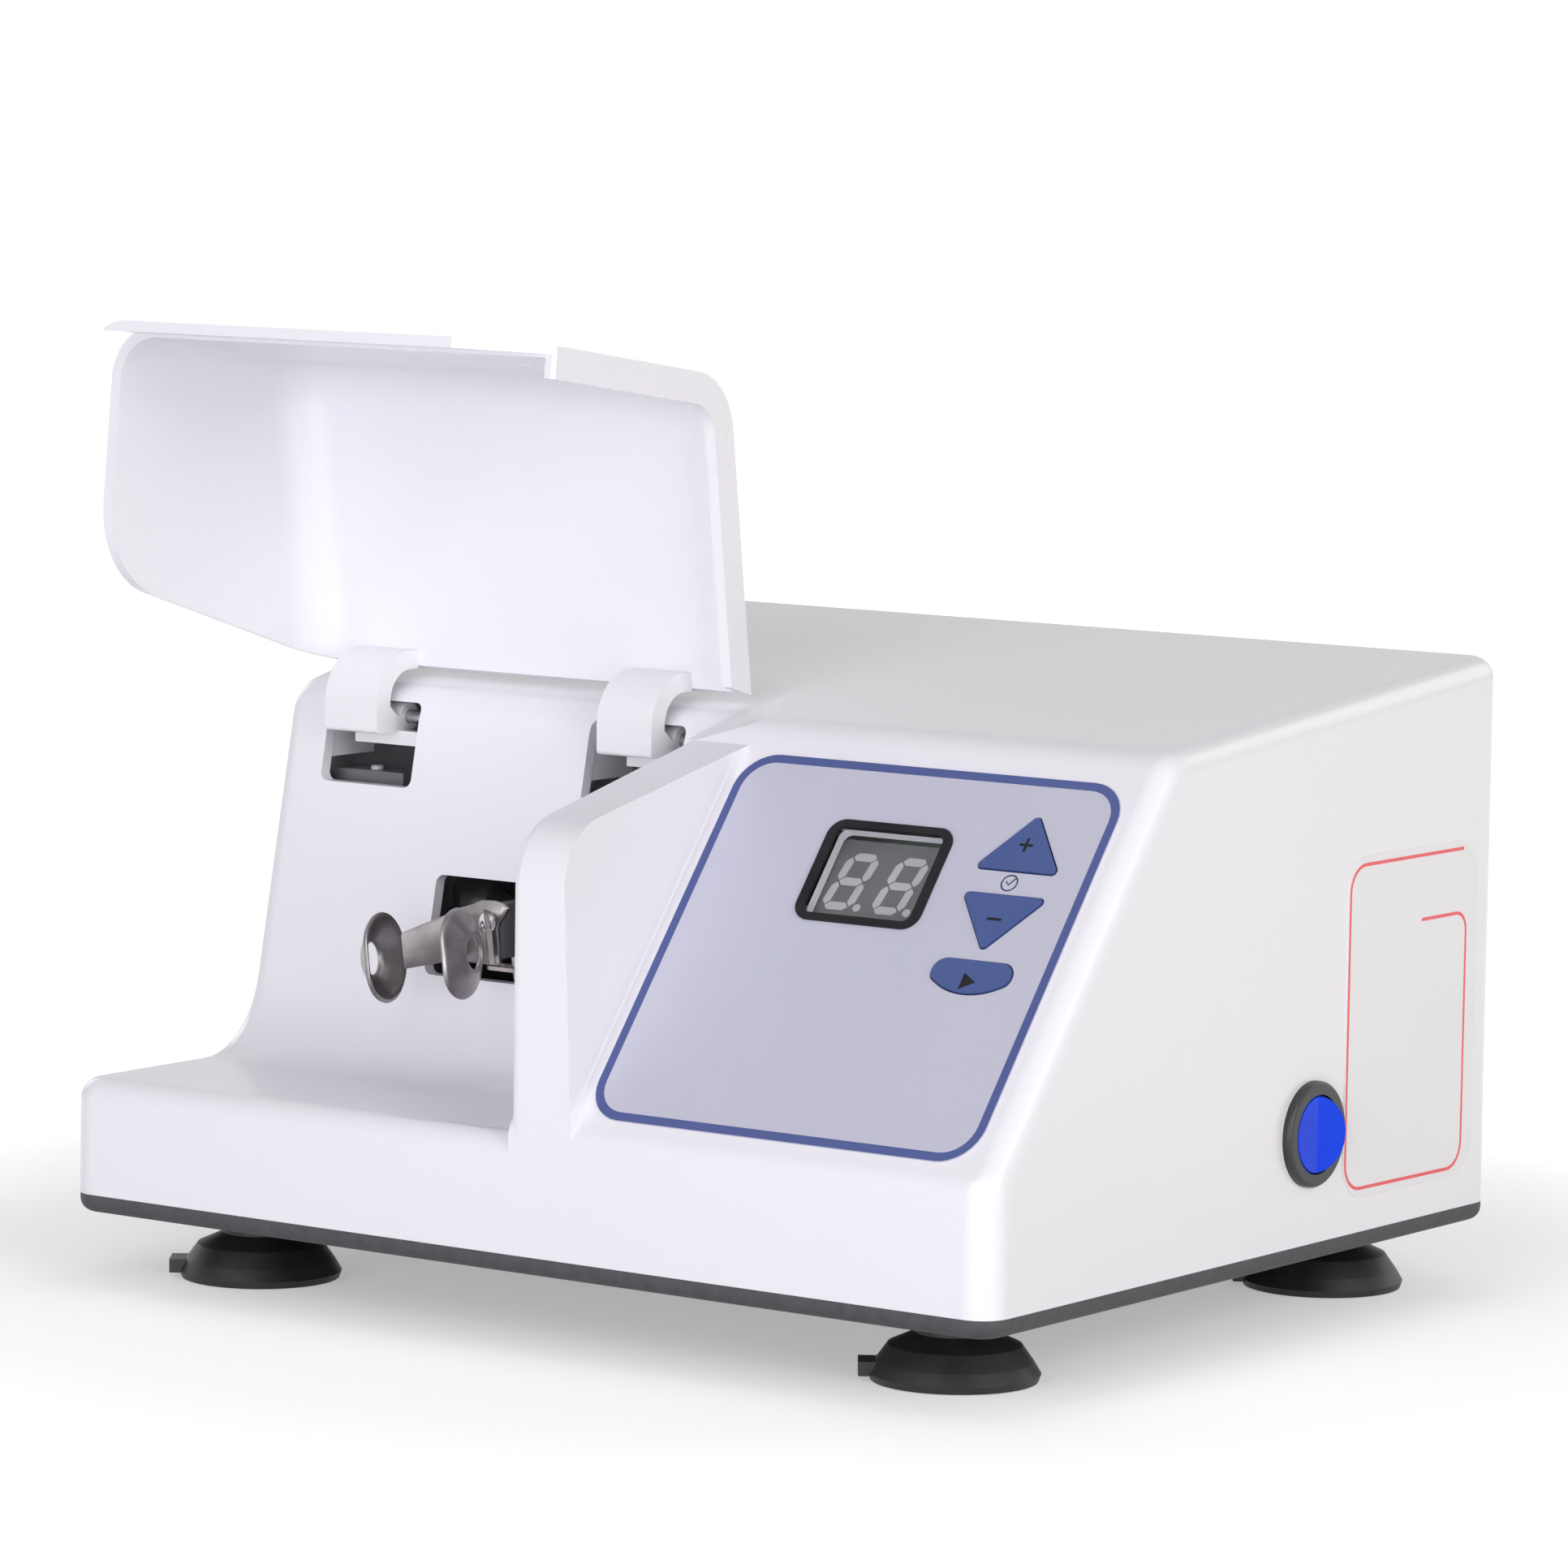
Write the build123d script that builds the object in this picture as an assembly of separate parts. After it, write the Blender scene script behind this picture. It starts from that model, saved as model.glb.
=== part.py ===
"""Dental amalgamator: a capsule mixer with a hinged safety cover, a console and a nutating fork.

Millimetres, +Z up, front towards -Y, console on +X. The working datum is the middle of the
housing's lower edge; every node is moved at the end so that the assembly stands centred on z = 0.
"""
import os
from math import atan2, cos, degrees, hypot, radians, sin, tan

from build123d import *

# ---------------------------------------------------------------- housing
HOUSING_W = 246.0
HOUSING_D = 199.0
WALL = 3.0
CORNER_R = 6.6          # upright corners
EDGE_R = 5.0            # rim of every upper face
PANEL_FOOT_Z = 27.0     # front wall under the sloping console
CREASE_SETBACK = 65.5   # front face to the crease at the top of the slope
CREASE_Z = 110.0
CREASE_R = 10.0
TOP_REAR_Z = 122.3
KNEE_R = 150.0          # soft bend where the ridge line meets the top

BAY_W = 123.0
LEDGE_Z = 25.8
BAY_DEPTH = 58.1        # front face to the foot of the leaning wall
BAY_LEAN = 11.5         # degrees from upright
BAY_FLOOR_R = 20.0
BAY_BROW_R = 10.0

RIDGE_W = 12.0
RIDGE_DRAFT = 4.5       # how much wider the ridge is at its foot
RIDGE_FRONT_Z = 90.2
RIDGE_SLOPE = 13.2      # degrees
RIDGE_NOSE_R = 15.0
RIDGE_OUTER_R = 2.5
RIDGE_INNER_R = 4.0
PANEL_FILLET_R = 3.0
BLEND_START = 2.0       # ridge top to console top: a soft ramp across the width
BLEND_W = 24.0
BLEND_RISE = 5.5

WINDOW_LEFT_X = -110.0
WINDOW_RIGHT_X = -36.0
WINDOW_W = 26.0
WINDOW_Z = (86.8, 105.6)
SLOT_W = 39.4
SLOT_Z = (46.7, 68.7)
CUT_R = 2.0             # corners of windows and slot

BOSS_R = 4.5
BOSS_INSET_X = 7.2
BOSS_INSET_Y = 16.0
BOSS_H = 20.0
SCREW_R = 1.5
SCREW_HEAD_R = 2.8
SCREW_HEAD_H = 1.8
SCREW_NUT_R = 3.2
SCREW_NUT_H = 2.4
SOCKET_R = 1.3
SOCKET_DEPTH = 1.0
BASE_SCREW_L = 14.0

# ---------------------------------------------------------------- base and feet
BASE_T = 4.2
BASE_EDGE_R = 3.0
BASE_LIP_H = 3.0
BASE_LIP_T = 2.0
FIT_GAP = 0.3
FOOT_X = 93.5
FOOT_FRONT_Y = -68.5
FOOT_REAR_Y = 76.0
FOOT_H = 15.3
FOOT_R = 18.0
FOOT_NECK_R = 8.5
FOOT_TAB = 2.0
STUD_R = 2.5
NUT_R = 4.6
NUT_H = 4.0
STUD_DEPTH = 5.0        # stud inside the foot's neck
FOOT_TAB_TURN = 215.8   # degrees

# ---------------------------------------------------------------- console panel
OVERLAY_X = (17.6, 115.9)
OVERLAY_S = (4.8, 96.9)
OVERLAY_R = 9.0
OVERLAY_T = 1.2
OVERLAY_RECESS = 0.8
DISPLAY_CENTRE = (62.9, 69.8)
DISPLAY_FRAME = (31.8, 25.0)
DISPLAY_SIGHT = (27.2, 21.5)
DISPLAY_FRAME_R = 4.0
DISPLAY_FRAME_PROUD = 0.5
DISPLAY_PANE_T = 1.0
MODULE_SIZE = (26.4, 20.6, 8.0)
MODULE_DEPTH = 3.4      # sight glass side, below the console face
MODULE_OFFSET = (-0.7, -0.4)
DIGIT_H = 14.2
DIGIT_PITCH = 12.7
DIGIT_SLANT = 10.0
DIGIT_W = 8.2
SEGMENT_W = 1.9
SEGMENT_T = 0.2
KEY_X = 96.9
KEY_UP_S = (73.9, 87.6)
KEY_DOWN_S = (54.4, 67.9)
KEY_W = 21.0
KEY_START_S = 47.8
KEY_START_W = 19.4
KEY_START_H = 7.9
KEY_PROUD = 0.4
KEY_TRAVEL = 0.6
KEY_GAP = 0.3
KEY_STEM_R = 2.0
KEY_CORNER_R = 0.9
KEY_POCKET = 1.6        # floor of the key pockets, below the console face
BOARD_T = 1.6
BOARD_DEPTH = 11.3      # console face to the board
BOARD_SCREW_R = 1.25
BOARD_X = (38.0, 113.0)
BOARD_S = (38.0, 92.0)
STANDOFF_R = 3.0
STANDOFF_INSET = 4.0
TACT_W = 6.0
TACT_BODY_H = 3.5
TACT_H = 4.9
TACT_BUTTON_R = 1.75

# ---------------------------------------------------------------- mains switch and label
SWITCH_Y = 22.0
SWITCH_Z = 24.0
BEZEL_R = 11.5
BEZEL_T = 2.0
SWITCH_BODY_R = 10.0
SWITCH_BODY_L = 16.0
ROCKER_R = 8.2
ROCKER_GAP = 0.4
ROCKER_TILT = 10.0
ROCKER_PIVOT_DEPTH = 3.0
TERMINAL_PITCH = 8.0
TERMINAL_T = 0.8
TERMINAL_W = 6.3
TERMINAL_L = 8.0
LABEL_Y = (35.0, 88.8)
LABEL_Z = (7.6, 82.2)
LABEL_T = 0.3
LABEL_R = 8.0

# ---------------------------------------------------------------- cover
LID_WALL = 2.6
LID_GAP = 0.8           # to the ridge
LID_OPEN = 95.5         # degrees from closed
LID_FRONT_LEAN = 2.54   # degrees
LID_FRONT_Y = -99.0     # front face where it meets the ridge line
LID_EDGE_R = 12.0
LID_LEDGE_GAP = 2.2
LID_WALL_GAP = 5.2
LID_FLANGE = 7.0
LID_LIP_Z = 18.0
LID_LIP_RAMP = 20.0
LID_LIP_GAP = 0.4
LID_REAR_Y = -31.4
HINGE_Y = -19.3
HINGE_Z = 101.8
ARM_W = 15.0
ARM_T = 4.4
ARM_REACH = 11.7        # hinge axis to the front of the gooseneck
ARM_TOP = 14.9          # hinge axis to the top of the gooseneck
ARM_LEFT_X = -107.0
ARM_RIGHT_X = -30.0
EYE_R = 3.2
PIN_R = 1.5
PIN_FIT = 0.08
STOP_BAR_L = 24.0
STOP_BAR_START = 2.5
STOP_BAR_H = 3.0
STOP_BAR_T = 2.6
HINGE_RIB_T = 3.0
HINGE_RIB_H = 10.0

# ---------------------------------------------------------------- nutating drive
DRIVE_X = -53.3
DRIVE_Y = -4.0
DRIVE_Z = 58.0
SKEW = 7.5              # degrees between the shaft and the hub's journal
SHAFT_R = 3.0
JOURNAL_R = 7.0
HUB_L = 13.0
HUB_COLLAR_R = 9.0
HUB_COLLAR_L = 5.0
BEARING_W = 9.0
BEARING_RING_T = 2.6
BEARING_FIT = 0.08
ARM_HUB_R = 16.0
ARM_HUB_W = 11.0
ARM_LUG_T = 8.5
ARM_LUG_H = 12.0
FORK_SHEET = 1.2
FORK_BASE_W = 9.0
FORK_BASE_H = 11.5
FORK_BASE_Y = 39.5      # drive axis to the back of the fork's foot
FORK_TIP_H = 7.5
CUP_R = 9.1
CUP_DEPTH = 3.4
CUP_HOLE_R = 3.9
CUP_GAP = 23.4          # between the two rims
CUP_Y = 58.0            # drive axis to the capsule axis
CUP_DROP = 2.9
RIVET_R = 2.3
RIVET_HEAD_H = 1.5
RIVET_RISE = 3.5
MOTOR_R = 24.0
MOTOR_L = 58.0
MOTOR_BOSS_R = 9.0
MOTOR_BOSS_L = 3.0
MOTOR_SCREW_R = 17.0      # distance of the screws from the axis
MOTOR_SCREW_L = 8.0
SHAFT_ENGAGE = 10.0
BRACKET_T = 2.0
BRACKET_FOOT_L = 18.0
BRACKET_W = 42.0
MOTOR_BRACKET_GAP = 14.0  # hub middle to the bracket, on the motor side
OUTBOARD_GAP = 24.0       # hub middle to the bracket on the far side
OUTBOARD_BEARING_R = 8.0
OUTBOARD_BEARING_W = 5.0
OUTBOARD_W = 30.0
OUTBOARD_RISE = 14.0
SPRING_R = 3.0
SPRING_WIRE_R = 0.45
SPRING_TURNS = 6
SPRING_BENDS = 10         # straight lengths in each turn
SPRING_DROP = 9.0         # drive axis to the spring's axis
SPRING_Y = -30.0
SPRING_COIL_X = (-45.0, -35.0)
LOOP_L = 12.0             # inside the long loop that the arm's peg moves in
LOOP_W = 4.4
PEG_R = 1.2
PEG_L = 5.5
ANCHOR_X = -31.0
ANCHOR_R = 2.0

# ---------------------------------------------------------------- cover interlock
INTERLOCK_SIZE = (20.0, 6.4, 10.3)
INTERLOCK_X = -103.0
INTERLOCK_Y = -17.0
INTERLOCK_TOP = 88.8
PLUNGER_R = 1.5
PLUNGER_PROUD = 1.0
PLUNGER_TRAVEL = 0.6
PLUNGER_L = 5.0
SHELF_T = 2.5

# ---------------------------------------------------------------- supply
TRANSFORMER_X = 70.0
TRANSFORMER_Y = 30.0
CORE_SIZE = (48.0, 24.0, 40.0)
COIL_SIZE = (30.0, 38.0, 26.0)
CLAMP_T = 1.2
CLAMP_W = 16.0
CLAMP_FOOT_L = 12.0
INLET_X = 70.0
INLET_Z = 30.0
INLET_FLANGE = (50.0, 24.0, 3.0)
INLET_BODY = (28.0, 20.0, 20.0)
INLET_CAVITY = (24.4, 16.6, 17.0)
INLET_SCREW_PITCH = 40.0
BLADE_SIZE = (2.0, 4.0)
BLADE_L = 12.0
BLADE_PITCH = 7.0
BLADE_LIFT = 2.0
FUSE_X = 25.0
FUSE_Z = 30.0
FUSE_FLANGE_R = 8.5
FUSE_FLANGE_T = 2.0
FUSE_BODY_R = 6.2
FUSE_BODY_L = 30.0
FUSE_CAP_R = 6.8
FUSE_CAP_L = 6.0

# ---------------------------------------------------------------- worked out
LEFT = -HOUSING_W / 2
RIGHT = HOUSING_W / 2
FRONT = -HOUSING_D / 2
REAR = HOUSING_D / 2
CHEEK_X = LEFT + BAY_W
CREASE_Y = FRONT + CREASE_SETBACK
BAY_FOOT_Y = FRONT + BAY_DEPTH
RIDGE_GRADE = tan(radians(RIDGE_SLOPE))
LEAN_GRADE = tan(radians(BAY_LEAN))
TOP_GRADE = (TOP_REAR_Z - CREASE_Z) / (REAR - CREASE_Y)
DIG = 40.0              # how far a cutter or a cavity runs past what it cuts


def wall_y(z):
    """Front face of the bay's leaning wall."""
    return BAY_FOOT_Y + (z - LEDGE_Z) * LEAN_GRADE


def inner_wall_y(z):
    """Back face of the same wall."""
    return wall_y(z) + WALL / cos(radians(BAY_LEAN))


def ridge_z(y):
    """Height of the ridge line, which the closed cover follows too."""
    return RIDGE_FRONT_Z + (y - FRONT) * RIDGE_GRADE


def top_z(y):
    """Height of the console's top face."""
    return CREASE_Z + (y - CREASE_Y) * TOP_GRADE


KNEE_Y = (top_z(0) - ridge_z(0)) / (RIDGE_GRADE - TOP_GRADE)
BROW_Z = ridge_z(wall_y(0)) / (1 - RIDGE_GRADE * LEAN_GRADE)

PANEL_RISE = CREASE_Z - PANEL_FOOT_Z
PANEL_SLANT = hypot(CREASE_SETBACK, PANEL_RISE)
PANEL_OUT = Vector(0, -PANEL_RISE / PANEL_SLANT, CREASE_SETBACK / PANEL_SLANT)
PANEL = Plane(origin=(0, FRONT, PANEL_FOOT_Z), x_dir=(1, 0, 0), z_dir=PANEL_OUT)


def outline(points, rounds=()):
    """Closed face through points; rounds lists (corner, radius)."""
    face = make_face(Polyline(*points, close=True))
    for corner, radius in rounds:
        nearest = face.vertices().sort_by_distance(Vector(corner[0], corner[1], 0))[0]
        face = fillet(nearest, radius)
    return face


def slab(side_face, x_from, x_to):
    """Solid of a side outline (y, z), standing between two places across the width."""
    return Pos(x_from, 0, 0) * extrude(Plane.YZ * side_face, amount=x_to - x_from)


def block(x_span, y_span, z_span):
    """Box from three spans."""
    size = [span[1] - span[0] for span in (x_span, y_span, z_span)]
    middle = [(span[1] + span[0]) / 2 for span in (x_span, y_span, z_span)]
    return Pos(*middle) * Box(*size)


def rod(start, axis, radius, length):
    """Cylinder from a start point along an axis."""
    return extrude(Plane(origin=start, z_dir=axis) * Circle(radius), amount=length)


# ================================================================ housing shell
def bay_outline(foot_z):
    foot = (BAY_FOOT_Y, LEDGE_Z)
    brow = (wall_y(BROW_Z), BROW_Z)
    knee = (KNEE_Y, ridge_z(KNEE_Y))
    points = [(FRONT, foot_z), (FRONT, LEDGE_Z), foot, brow, knee, (REAR, TOP_REAR_Z), (REAR, foot_z)]
    return outline(points, [(foot, BAY_FLOOR_R), (brow, BAY_BROW_R), (knee, KNEE_R)])


def ridge_outline(foot_z):
    nose = (FRONT, RIDGE_FRONT_Z)
    end = (KNEE_Y, ridge_z(KNEE_Y) - WALL)
    points = [(FRONT, foot_z), nose, (CREASE_Y / 2, ridge_z(CREASE_Y / 2)), end, (KNEE_Y, foot_z)]
    return outline(points, [(nose, RIDGE_NOSE_R)])


def console_outline(foot_z):
    crease = (CREASE_Y, CREASE_Z)
    points = [(FRONT, foot_z), (FRONT, PANEL_FOOT_Z), crease, (REAR, TOP_REAR_Z), (REAR, foot_z)]
    return outline(points, [(crease, CREASE_R)])


def edges_of_rim(solid, side_x):
    """Edges round the upper faces of a half housing, without its foot and its inner end."""
    rim = []
    for edge in solid.edges():
        spot = edge.center()
        at_side = abs(spot.X - side_x) < CORNER_R
        at_front = abs(spot.Y - FRONT) < CORNER_R
        at_rear = abs(spot.Y - REAR) < CORNER_R
        box = edge.bounding_box().size
        upright = box.X < 0.01 and box.Y < 0.01
        at_inner_end = box.X < 0.01 and not at_side
        if spot.Z > BASE_T and (at_side or at_front or at_rear) and not upright and not at_inner_end:
            rim.append(edge)
    return rim


def upright_corners(solid, side_x):
    """The two outer upright edges of a half housing."""
    corners = []
    for edge in solid.edges().filter_by(Axis.Z):
        spot = edge.center()
        if abs(spot.X - side_x) < 0.1 and (abs(spot.Y - FRONT) < 0.1 or abs(spot.Y - REAR) < 0.1):
            corners.append(edge)
    return corners


def softened(solid, side_x):
    """Half housing with rounded upright corners and a rounded rim."""
    solid = fillet(upright_corners(solid, side_x), CORNER_R)
    return fillet(edges_of_rim(solid, side_x), EDGE_R)


def recess_cutter():
    """Clears the console in front of its slope, up to the drafted inner face of the ridge."""
    top = RIDGE_FRONT_Z
    side = CHEEK_X + RIDGE_W
    foot = side + RIDGE_DRAFT
    lean = RIDGE_DRAFT / (RIDGE_FRONT_Z - PANEL_FOOT_Z)
    section = outline(
        [(foot, 0), (foot - lean * top, -top), (RIGHT + DIG, -top), (RIGHT + DIG, 0)],
        [((foot, 0), PANEL_FILLET_R)],
    )
    across = Plane(origin=(0, FRONT, PANEL_FOOT_Z), x_dir=(1, 0, 0), z_dir=PANEL.y_dir)
    return extrude(across * section, amount=PANEL_SLANT + DIG, both=True)


def blend_cutter():
    """Ramps the console's left end down to the ridge line."""
    rise_dir = Vector(0, cos(radians(RIDGE_SLOPE)), sin(radians(RIDGE_SLOPE)))
    across = Plane(origin=(CHEEK_X, FRONT, RIDGE_FRONT_Z), x_dir=(1, 0, 0), z_dir=rise_dir)
    section = outline(
        [(-DIG, 0), (BLEND_START, 0), (BLEND_W, -BLEND_RISE), (BLEND_W, -DIG), (-DIG, -DIG)]
    )
    return extrude(across * section, amount=CREASE_SETBACK - KNEE_Y + DIG, both=True)


def ridge():
    """Wall between bay and console, its long edges rounded before it joins the rest."""
    solid = slab(ridge_outline(0), CHEEK_X, CHEEK_X + RIDGE_W + RIDGE_DRAFT)
    solid -= recess_cutter()
    outer = []
    for edge in solid.edges():
        box = edge.bounding_box().size
        spot = edge.center()
        if box.X < 0.01 and abs(spot.X - CHEEK_X) < 0.01 and spot.Z > BASE_T and spot.Y < REAR - 1:
            outer.append(edge)
    return fillet(outer, RIDGE_OUTER_R)


def outer_housing():
    bay = softened(slab(bay_outline(0), LEFT, CHEEK_X + RIDGE_W / 2), LEFT)
    console = softened(slab(console_outline(0), CHEEK_X, RIGHT) - blend_cutter(), RIGHT)
    return bay + console + ridge()


def rounded_block(x_span, z_span, y_span, radius):
    """Cutter running along Y with rounded corners seen from the front."""
    size = (x_span[1] - x_span[0], z_span[1] - z_span[0])
    middle = ((x_span[1] + x_span[0]) / 2, (z_span[1] + z_span[0]) / 2)
    front = Plane(origin=(middle[0], y_span[0], middle[1]), x_dir=(1, 0, 0), z_dir=(0, -1, 0))
    return extrude(front * RectangleRounded(*size, radius), amount=y_span[0] - y_span[1])


def on_panel(sketch, n_from, n_to):
    """Solid on the console slope: a sketch in (x, up the slope) between two heights."""
    return extrude(PANEL.offset(n_from) * sketch, amount=n_to - n_from)


def panel_box(x_span, s_span, n_from, n_to, radius):
    """Rounded rectangular solid on the console slope."""
    size = (x_span[1] - x_span[0], s_span[1] - s_span[0])
    middle = ((x_span[1] + x_span[0]) / 2, (s_span[1] + s_span[0]) / 2)
    return on_panel(Pos(*middle) * RectangleRounded(*size, radius), n_from, n_to)


def around(centre, size):
    """Span of a given size about its middle."""
    return (centre - size / 2, centre + size / 2)


def housing_cavity():
    """Inside of the housing, open at its foot."""
    bay = offset(bay_outline(-DIG), amount=-WALL)
    console = offset(console_outline(-DIG), amount=-WALL)
    rib = offset(ridge_outline(-DIG), amount=-WALL)
    space = slab(console, CHEEK_X + WALL, RIGHT - WALL) - Pos(0, 0, -WALL) * blend_cutter()
    space += slab(bay, LEFT + WALL, CHEEK_X + RIDGE_W / 2)
    return space + slab(rib, CHEEK_X + WALL, CHEEK_X + RIDGE_W - WALL)


def key_up_outline():
    low = KEY_UP_S[0]
    corners = [(KEY_X - KEY_W / 2, low), (KEY_X + KEY_W / 2, low), (KEY_X, KEY_UP_S[1])]
    return outline(corners, [(corner, KEY_CORNER_R) for corner in corners])


def key_down_outline():
    high = KEY_DOWN_S[1]
    corners = [(KEY_X - KEY_W / 2, high), (KEY_X, KEY_DOWN_S[0]), (KEY_X + KEY_W / 2, high)]
    return outline(corners, [(corner, KEY_CORNER_R) for corner in corners])


def key_start_outline():
    half = KEY_START_W / 2
    top = KEY_START_H / 2
    left_top = (-half + 2.9, top)
    right_top = (half - 2.9, top)
    right_low = (half - 0.5, -top / 4)
    left_low = (-half + 0.5, -top / 4)
    edges = [
        Line(left_top, right_top),
        ThreePointArc(right_top, (half - 0.1, top / 2), right_low),
        ThreePointArc(right_low, (0, -top), left_low),
        ThreePointArc(left_low, (-half + 0.1, top / 2), left_top),
    ]
    return Pos(KEY_X, KEY_START_S) * make_face(edges)


KEY_SPOTS = {
    "key_up": (key_up_outline, KEY_UP_S[0] + (KEY_UP_S[1] - KEY_UP_S[0]) / 3),
    "key_down": (key_down_outline, KEY_DOWN_S[1] - (KEY_DOWN_S[1] - KEY_DOWN_S[0]) / 3),
    "key_start": (key_start_outline, KEY_START_S),
}


def boss_spots():
    side = HOUSING_W / 2 - BOSS_INSET_X
    end = HOUSING_D / 2 - BOSS_INSET_Y
    return [(-side, -end), (side, -end), (-side, end), (side, end)]


def hinge_rib_spans():
    """Where the four webs stand that carry the cover's hinge pins."""
    spans = []
    for window_x, arm_x in ((WINDOW_LEFT_X, ARM_LEFT_X), (WINDOW_RIGHT_X, ARM_RIGHT_X)):
        spans.append((window_x - FIT_GAP - HINGE_RIB_T, window_x - FIT_GAP))
        bar_end = arm_x + STOP_BAR_START + STOP_BAR_L + 1
        spans.append((bar_end, bar_end + HINGE_RIB_T))
    return spans


def housing_webs(cavity):
    """Ribs, shelf and bosses moulded inside the housing."""
    rib_y = (BAY_FOOT_Y, HINGE_Y + HINGE_RIB_H)
    rib_z = (HINGE_Z - HINGE_RIB_H, TOP_REAR_Z)
    webs = []
    for span in hinge_rib_spans():
        webs.append(block(span, rib_y, rib_z) & cavity)
    shelf_x = (LEFT, INTERLOCK_X + INTERLOCK_SIZE[0] / 2 + 1)
    shelf_top = INTERLOCK_TOP - INTERLOCK_SIZE[2]
    shelf_y = (BAY_FOOT_Y, INTERLOCK_Y + INTERLOCK_SIZE[1])
    webs.append(block(shelf_x, shelf_y, (shelf_top - SHELF_T, shelf_top)) & cavity)
    for x, y in boss_spots():
        webs.append(rod((x, y, 0), (0, 0, 1), BOSS_R, BOSS_H))
    return webs


def display_spans(size):
    return around(DISPLAY_CENTRE[0], size[0]), around(DISPLAY_CENTRE[1], size[1])


def housing_cutters():
    """Everything that goes through or into the housing wall."""
    through_wall = (BAY_FOOT_Y - EDGE_R, HINGE_Y)
    cutters = []
    for x in (WINDOW_LEFT_X, WINDOW_RIGHT_X):
        window = (x, x + WINDOW_W)
        cutters.append(rounded_block(window, WINDOW_Z, through_wall, CUT_R))
    cutters.append(rounded_block(around(DRIVE_X, SLOT_W), SLOT_Z, through_wall, CUT_R))
    cutters.append(panel_box(OVERLAY_X, OVERLAY_S, -OVERLAY_RECESS, DIG, OVERLAY_R))
    cutters.append(panel_box(*display_spans(DISPLAY_SIGHT), -DIG / 4, DIG, DISPLAY_FRAME_R / 2))
    for shape, stem_s in KEY_SPOTS.values():
        cutters.append(on_panel(offset(shape(), amount=KEY_GAP), -KEY_POCKET, DIG))
        cutters.append(on_panel(Pos(KEY_X, stem_s) * Circle(KEY_STEM_R + PIN_FIT), -DIG / 4, DIG))
    cutters.append(rod((RIGHT - DIG / 4, SWITCH_Y, SWITCH_Z), (1, 0, 0), SWITCH_BODY_R + FIT_GAP, DIG))
    inlet_x = around(INLET_X, INLET_BODY[0] + 2 * FIT_GAP)
    inlet_z = around(INLET_Z, INLET_BODY[1] + 2 * FIT_GAP)
    cutters.append(block(inlet_x, (REAR - DIG / 4, REAR + DIG), inlet_z))
    for side in (-1, 1):
        spot = (INLET_X + side * INLET_SCREW_PITCH / 2, REAR - DIG / 4, INLET_Z)
        cutters.append(rod(spot, (0, 1, 0), SCREW_R, DIG))
    cutters.append(rod((FUSE_X, REAR - DIG / 4, FUSE_Z), (0, 1, 0), FUSE_BODY_R + FIT_GAP, DIG))
    for span in hinge_rib_spans():
        cutters.append(rod((span[0] - 1, HINGE_Y, HINGE_Z), (1, 0, 0), PIN_R, HINGE_RIB_T + 2))
    for x, y in boss_spots():
        cutters.append(rod((x, y, -1), (0, 0, 1), SCREW_R, BASE_SCREW_L + 1))
    return cutters


def housing_shell():
    cavity = housing_cavity()
    shell = outer_housing() - cavity
    for web in housing_webs(cavity):
        shell += web
    for cutter in housing_cutters():
        shell -= cutter
    return shell


# ================================================================ base, feet
def footprint(inset):
    size = (HOUSING_W - 2 * inset, HOUSING_D - 2 * inset)
    return RectangleRounded(*size, max(CORNER_R - inset, 1))


def foot_spots():
    return {
        "foot_front_left": (-FOOT_X, FOOT_FRONT_Y),
        "foot_front_right": (FOOT_X, FOOT_FRONT_Y),
        "foot_rear_left": (-FOOT_X, FOOT_REAR_Y),
        "foot_rear_right": (FOOT_X, FOOT_REAR_Y),
    }


def base_plate():
    plate = extrude(footprint(0), amount=-BASE_T)
    plate = fillet(plate.faces().sort_by(Axis.Z)[0].edges(), BASE_EDGE_R)
    ring = footprint(WALL + FIT_GAP) - footprint(WALL + FIT_GAP + BASE_LIP_T)
    lip = extrude(ring, amount=BASE_LIP_H)
    for x, y in boss_spots():
        lip -= rod((x, y, -1), (0, 0, 1), BOSS_R + 2 * FIT_GAP, BASE_LIP_H + 2)
        plate -= rod((x, y, -BASE_T - 1), (0, 0, 1), SCREW_R, BASE_T + 2)
        plate -= rod((x, y, -BASE_T - 1), (0, 0, 1), SCREW_HEAD_R + FIT_GAP, SCREW_HEAD_H + 1)
    for x, y in foot_spots().values():
        plate -= rod((x, y, -BASE_T - 1), (0, 0, 1), STUD_R, BASE_T + 2)
    for x, y in chassis_screw_spots():
        plate -= rod((x, y, -BASE_T - 1), (0, 0, 1), SCREW_R, BASE_T + 2)
    return plate + lip


def base_screws():
    screws = []
    for x, y in boss_spots():
        head_top = -BASE_T + SCREW_HEAD_H
        head = rod((x, y, -BASE_T), (0, 0, 1), SCREW_HEAD_R, SCREW_HEAD_H)
        shank = rod((x, y, head_top), (0, 0, 1), SCREW_R, BASE_SCREW_L - head_top - 1)
        screws.append(head + shank - socket((x, y, -BASE_T), (0, 0, 1)))
    return Compound(screws)


def socket(start, axis):
    """Hexagon socket of a screw head, sunk along its axis."""
    return extrude(Plane(origin=start, z_dir=axis) * RegularPolygon(SOCKET_R, 6), amount=SOCKET_DEPTH)


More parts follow.
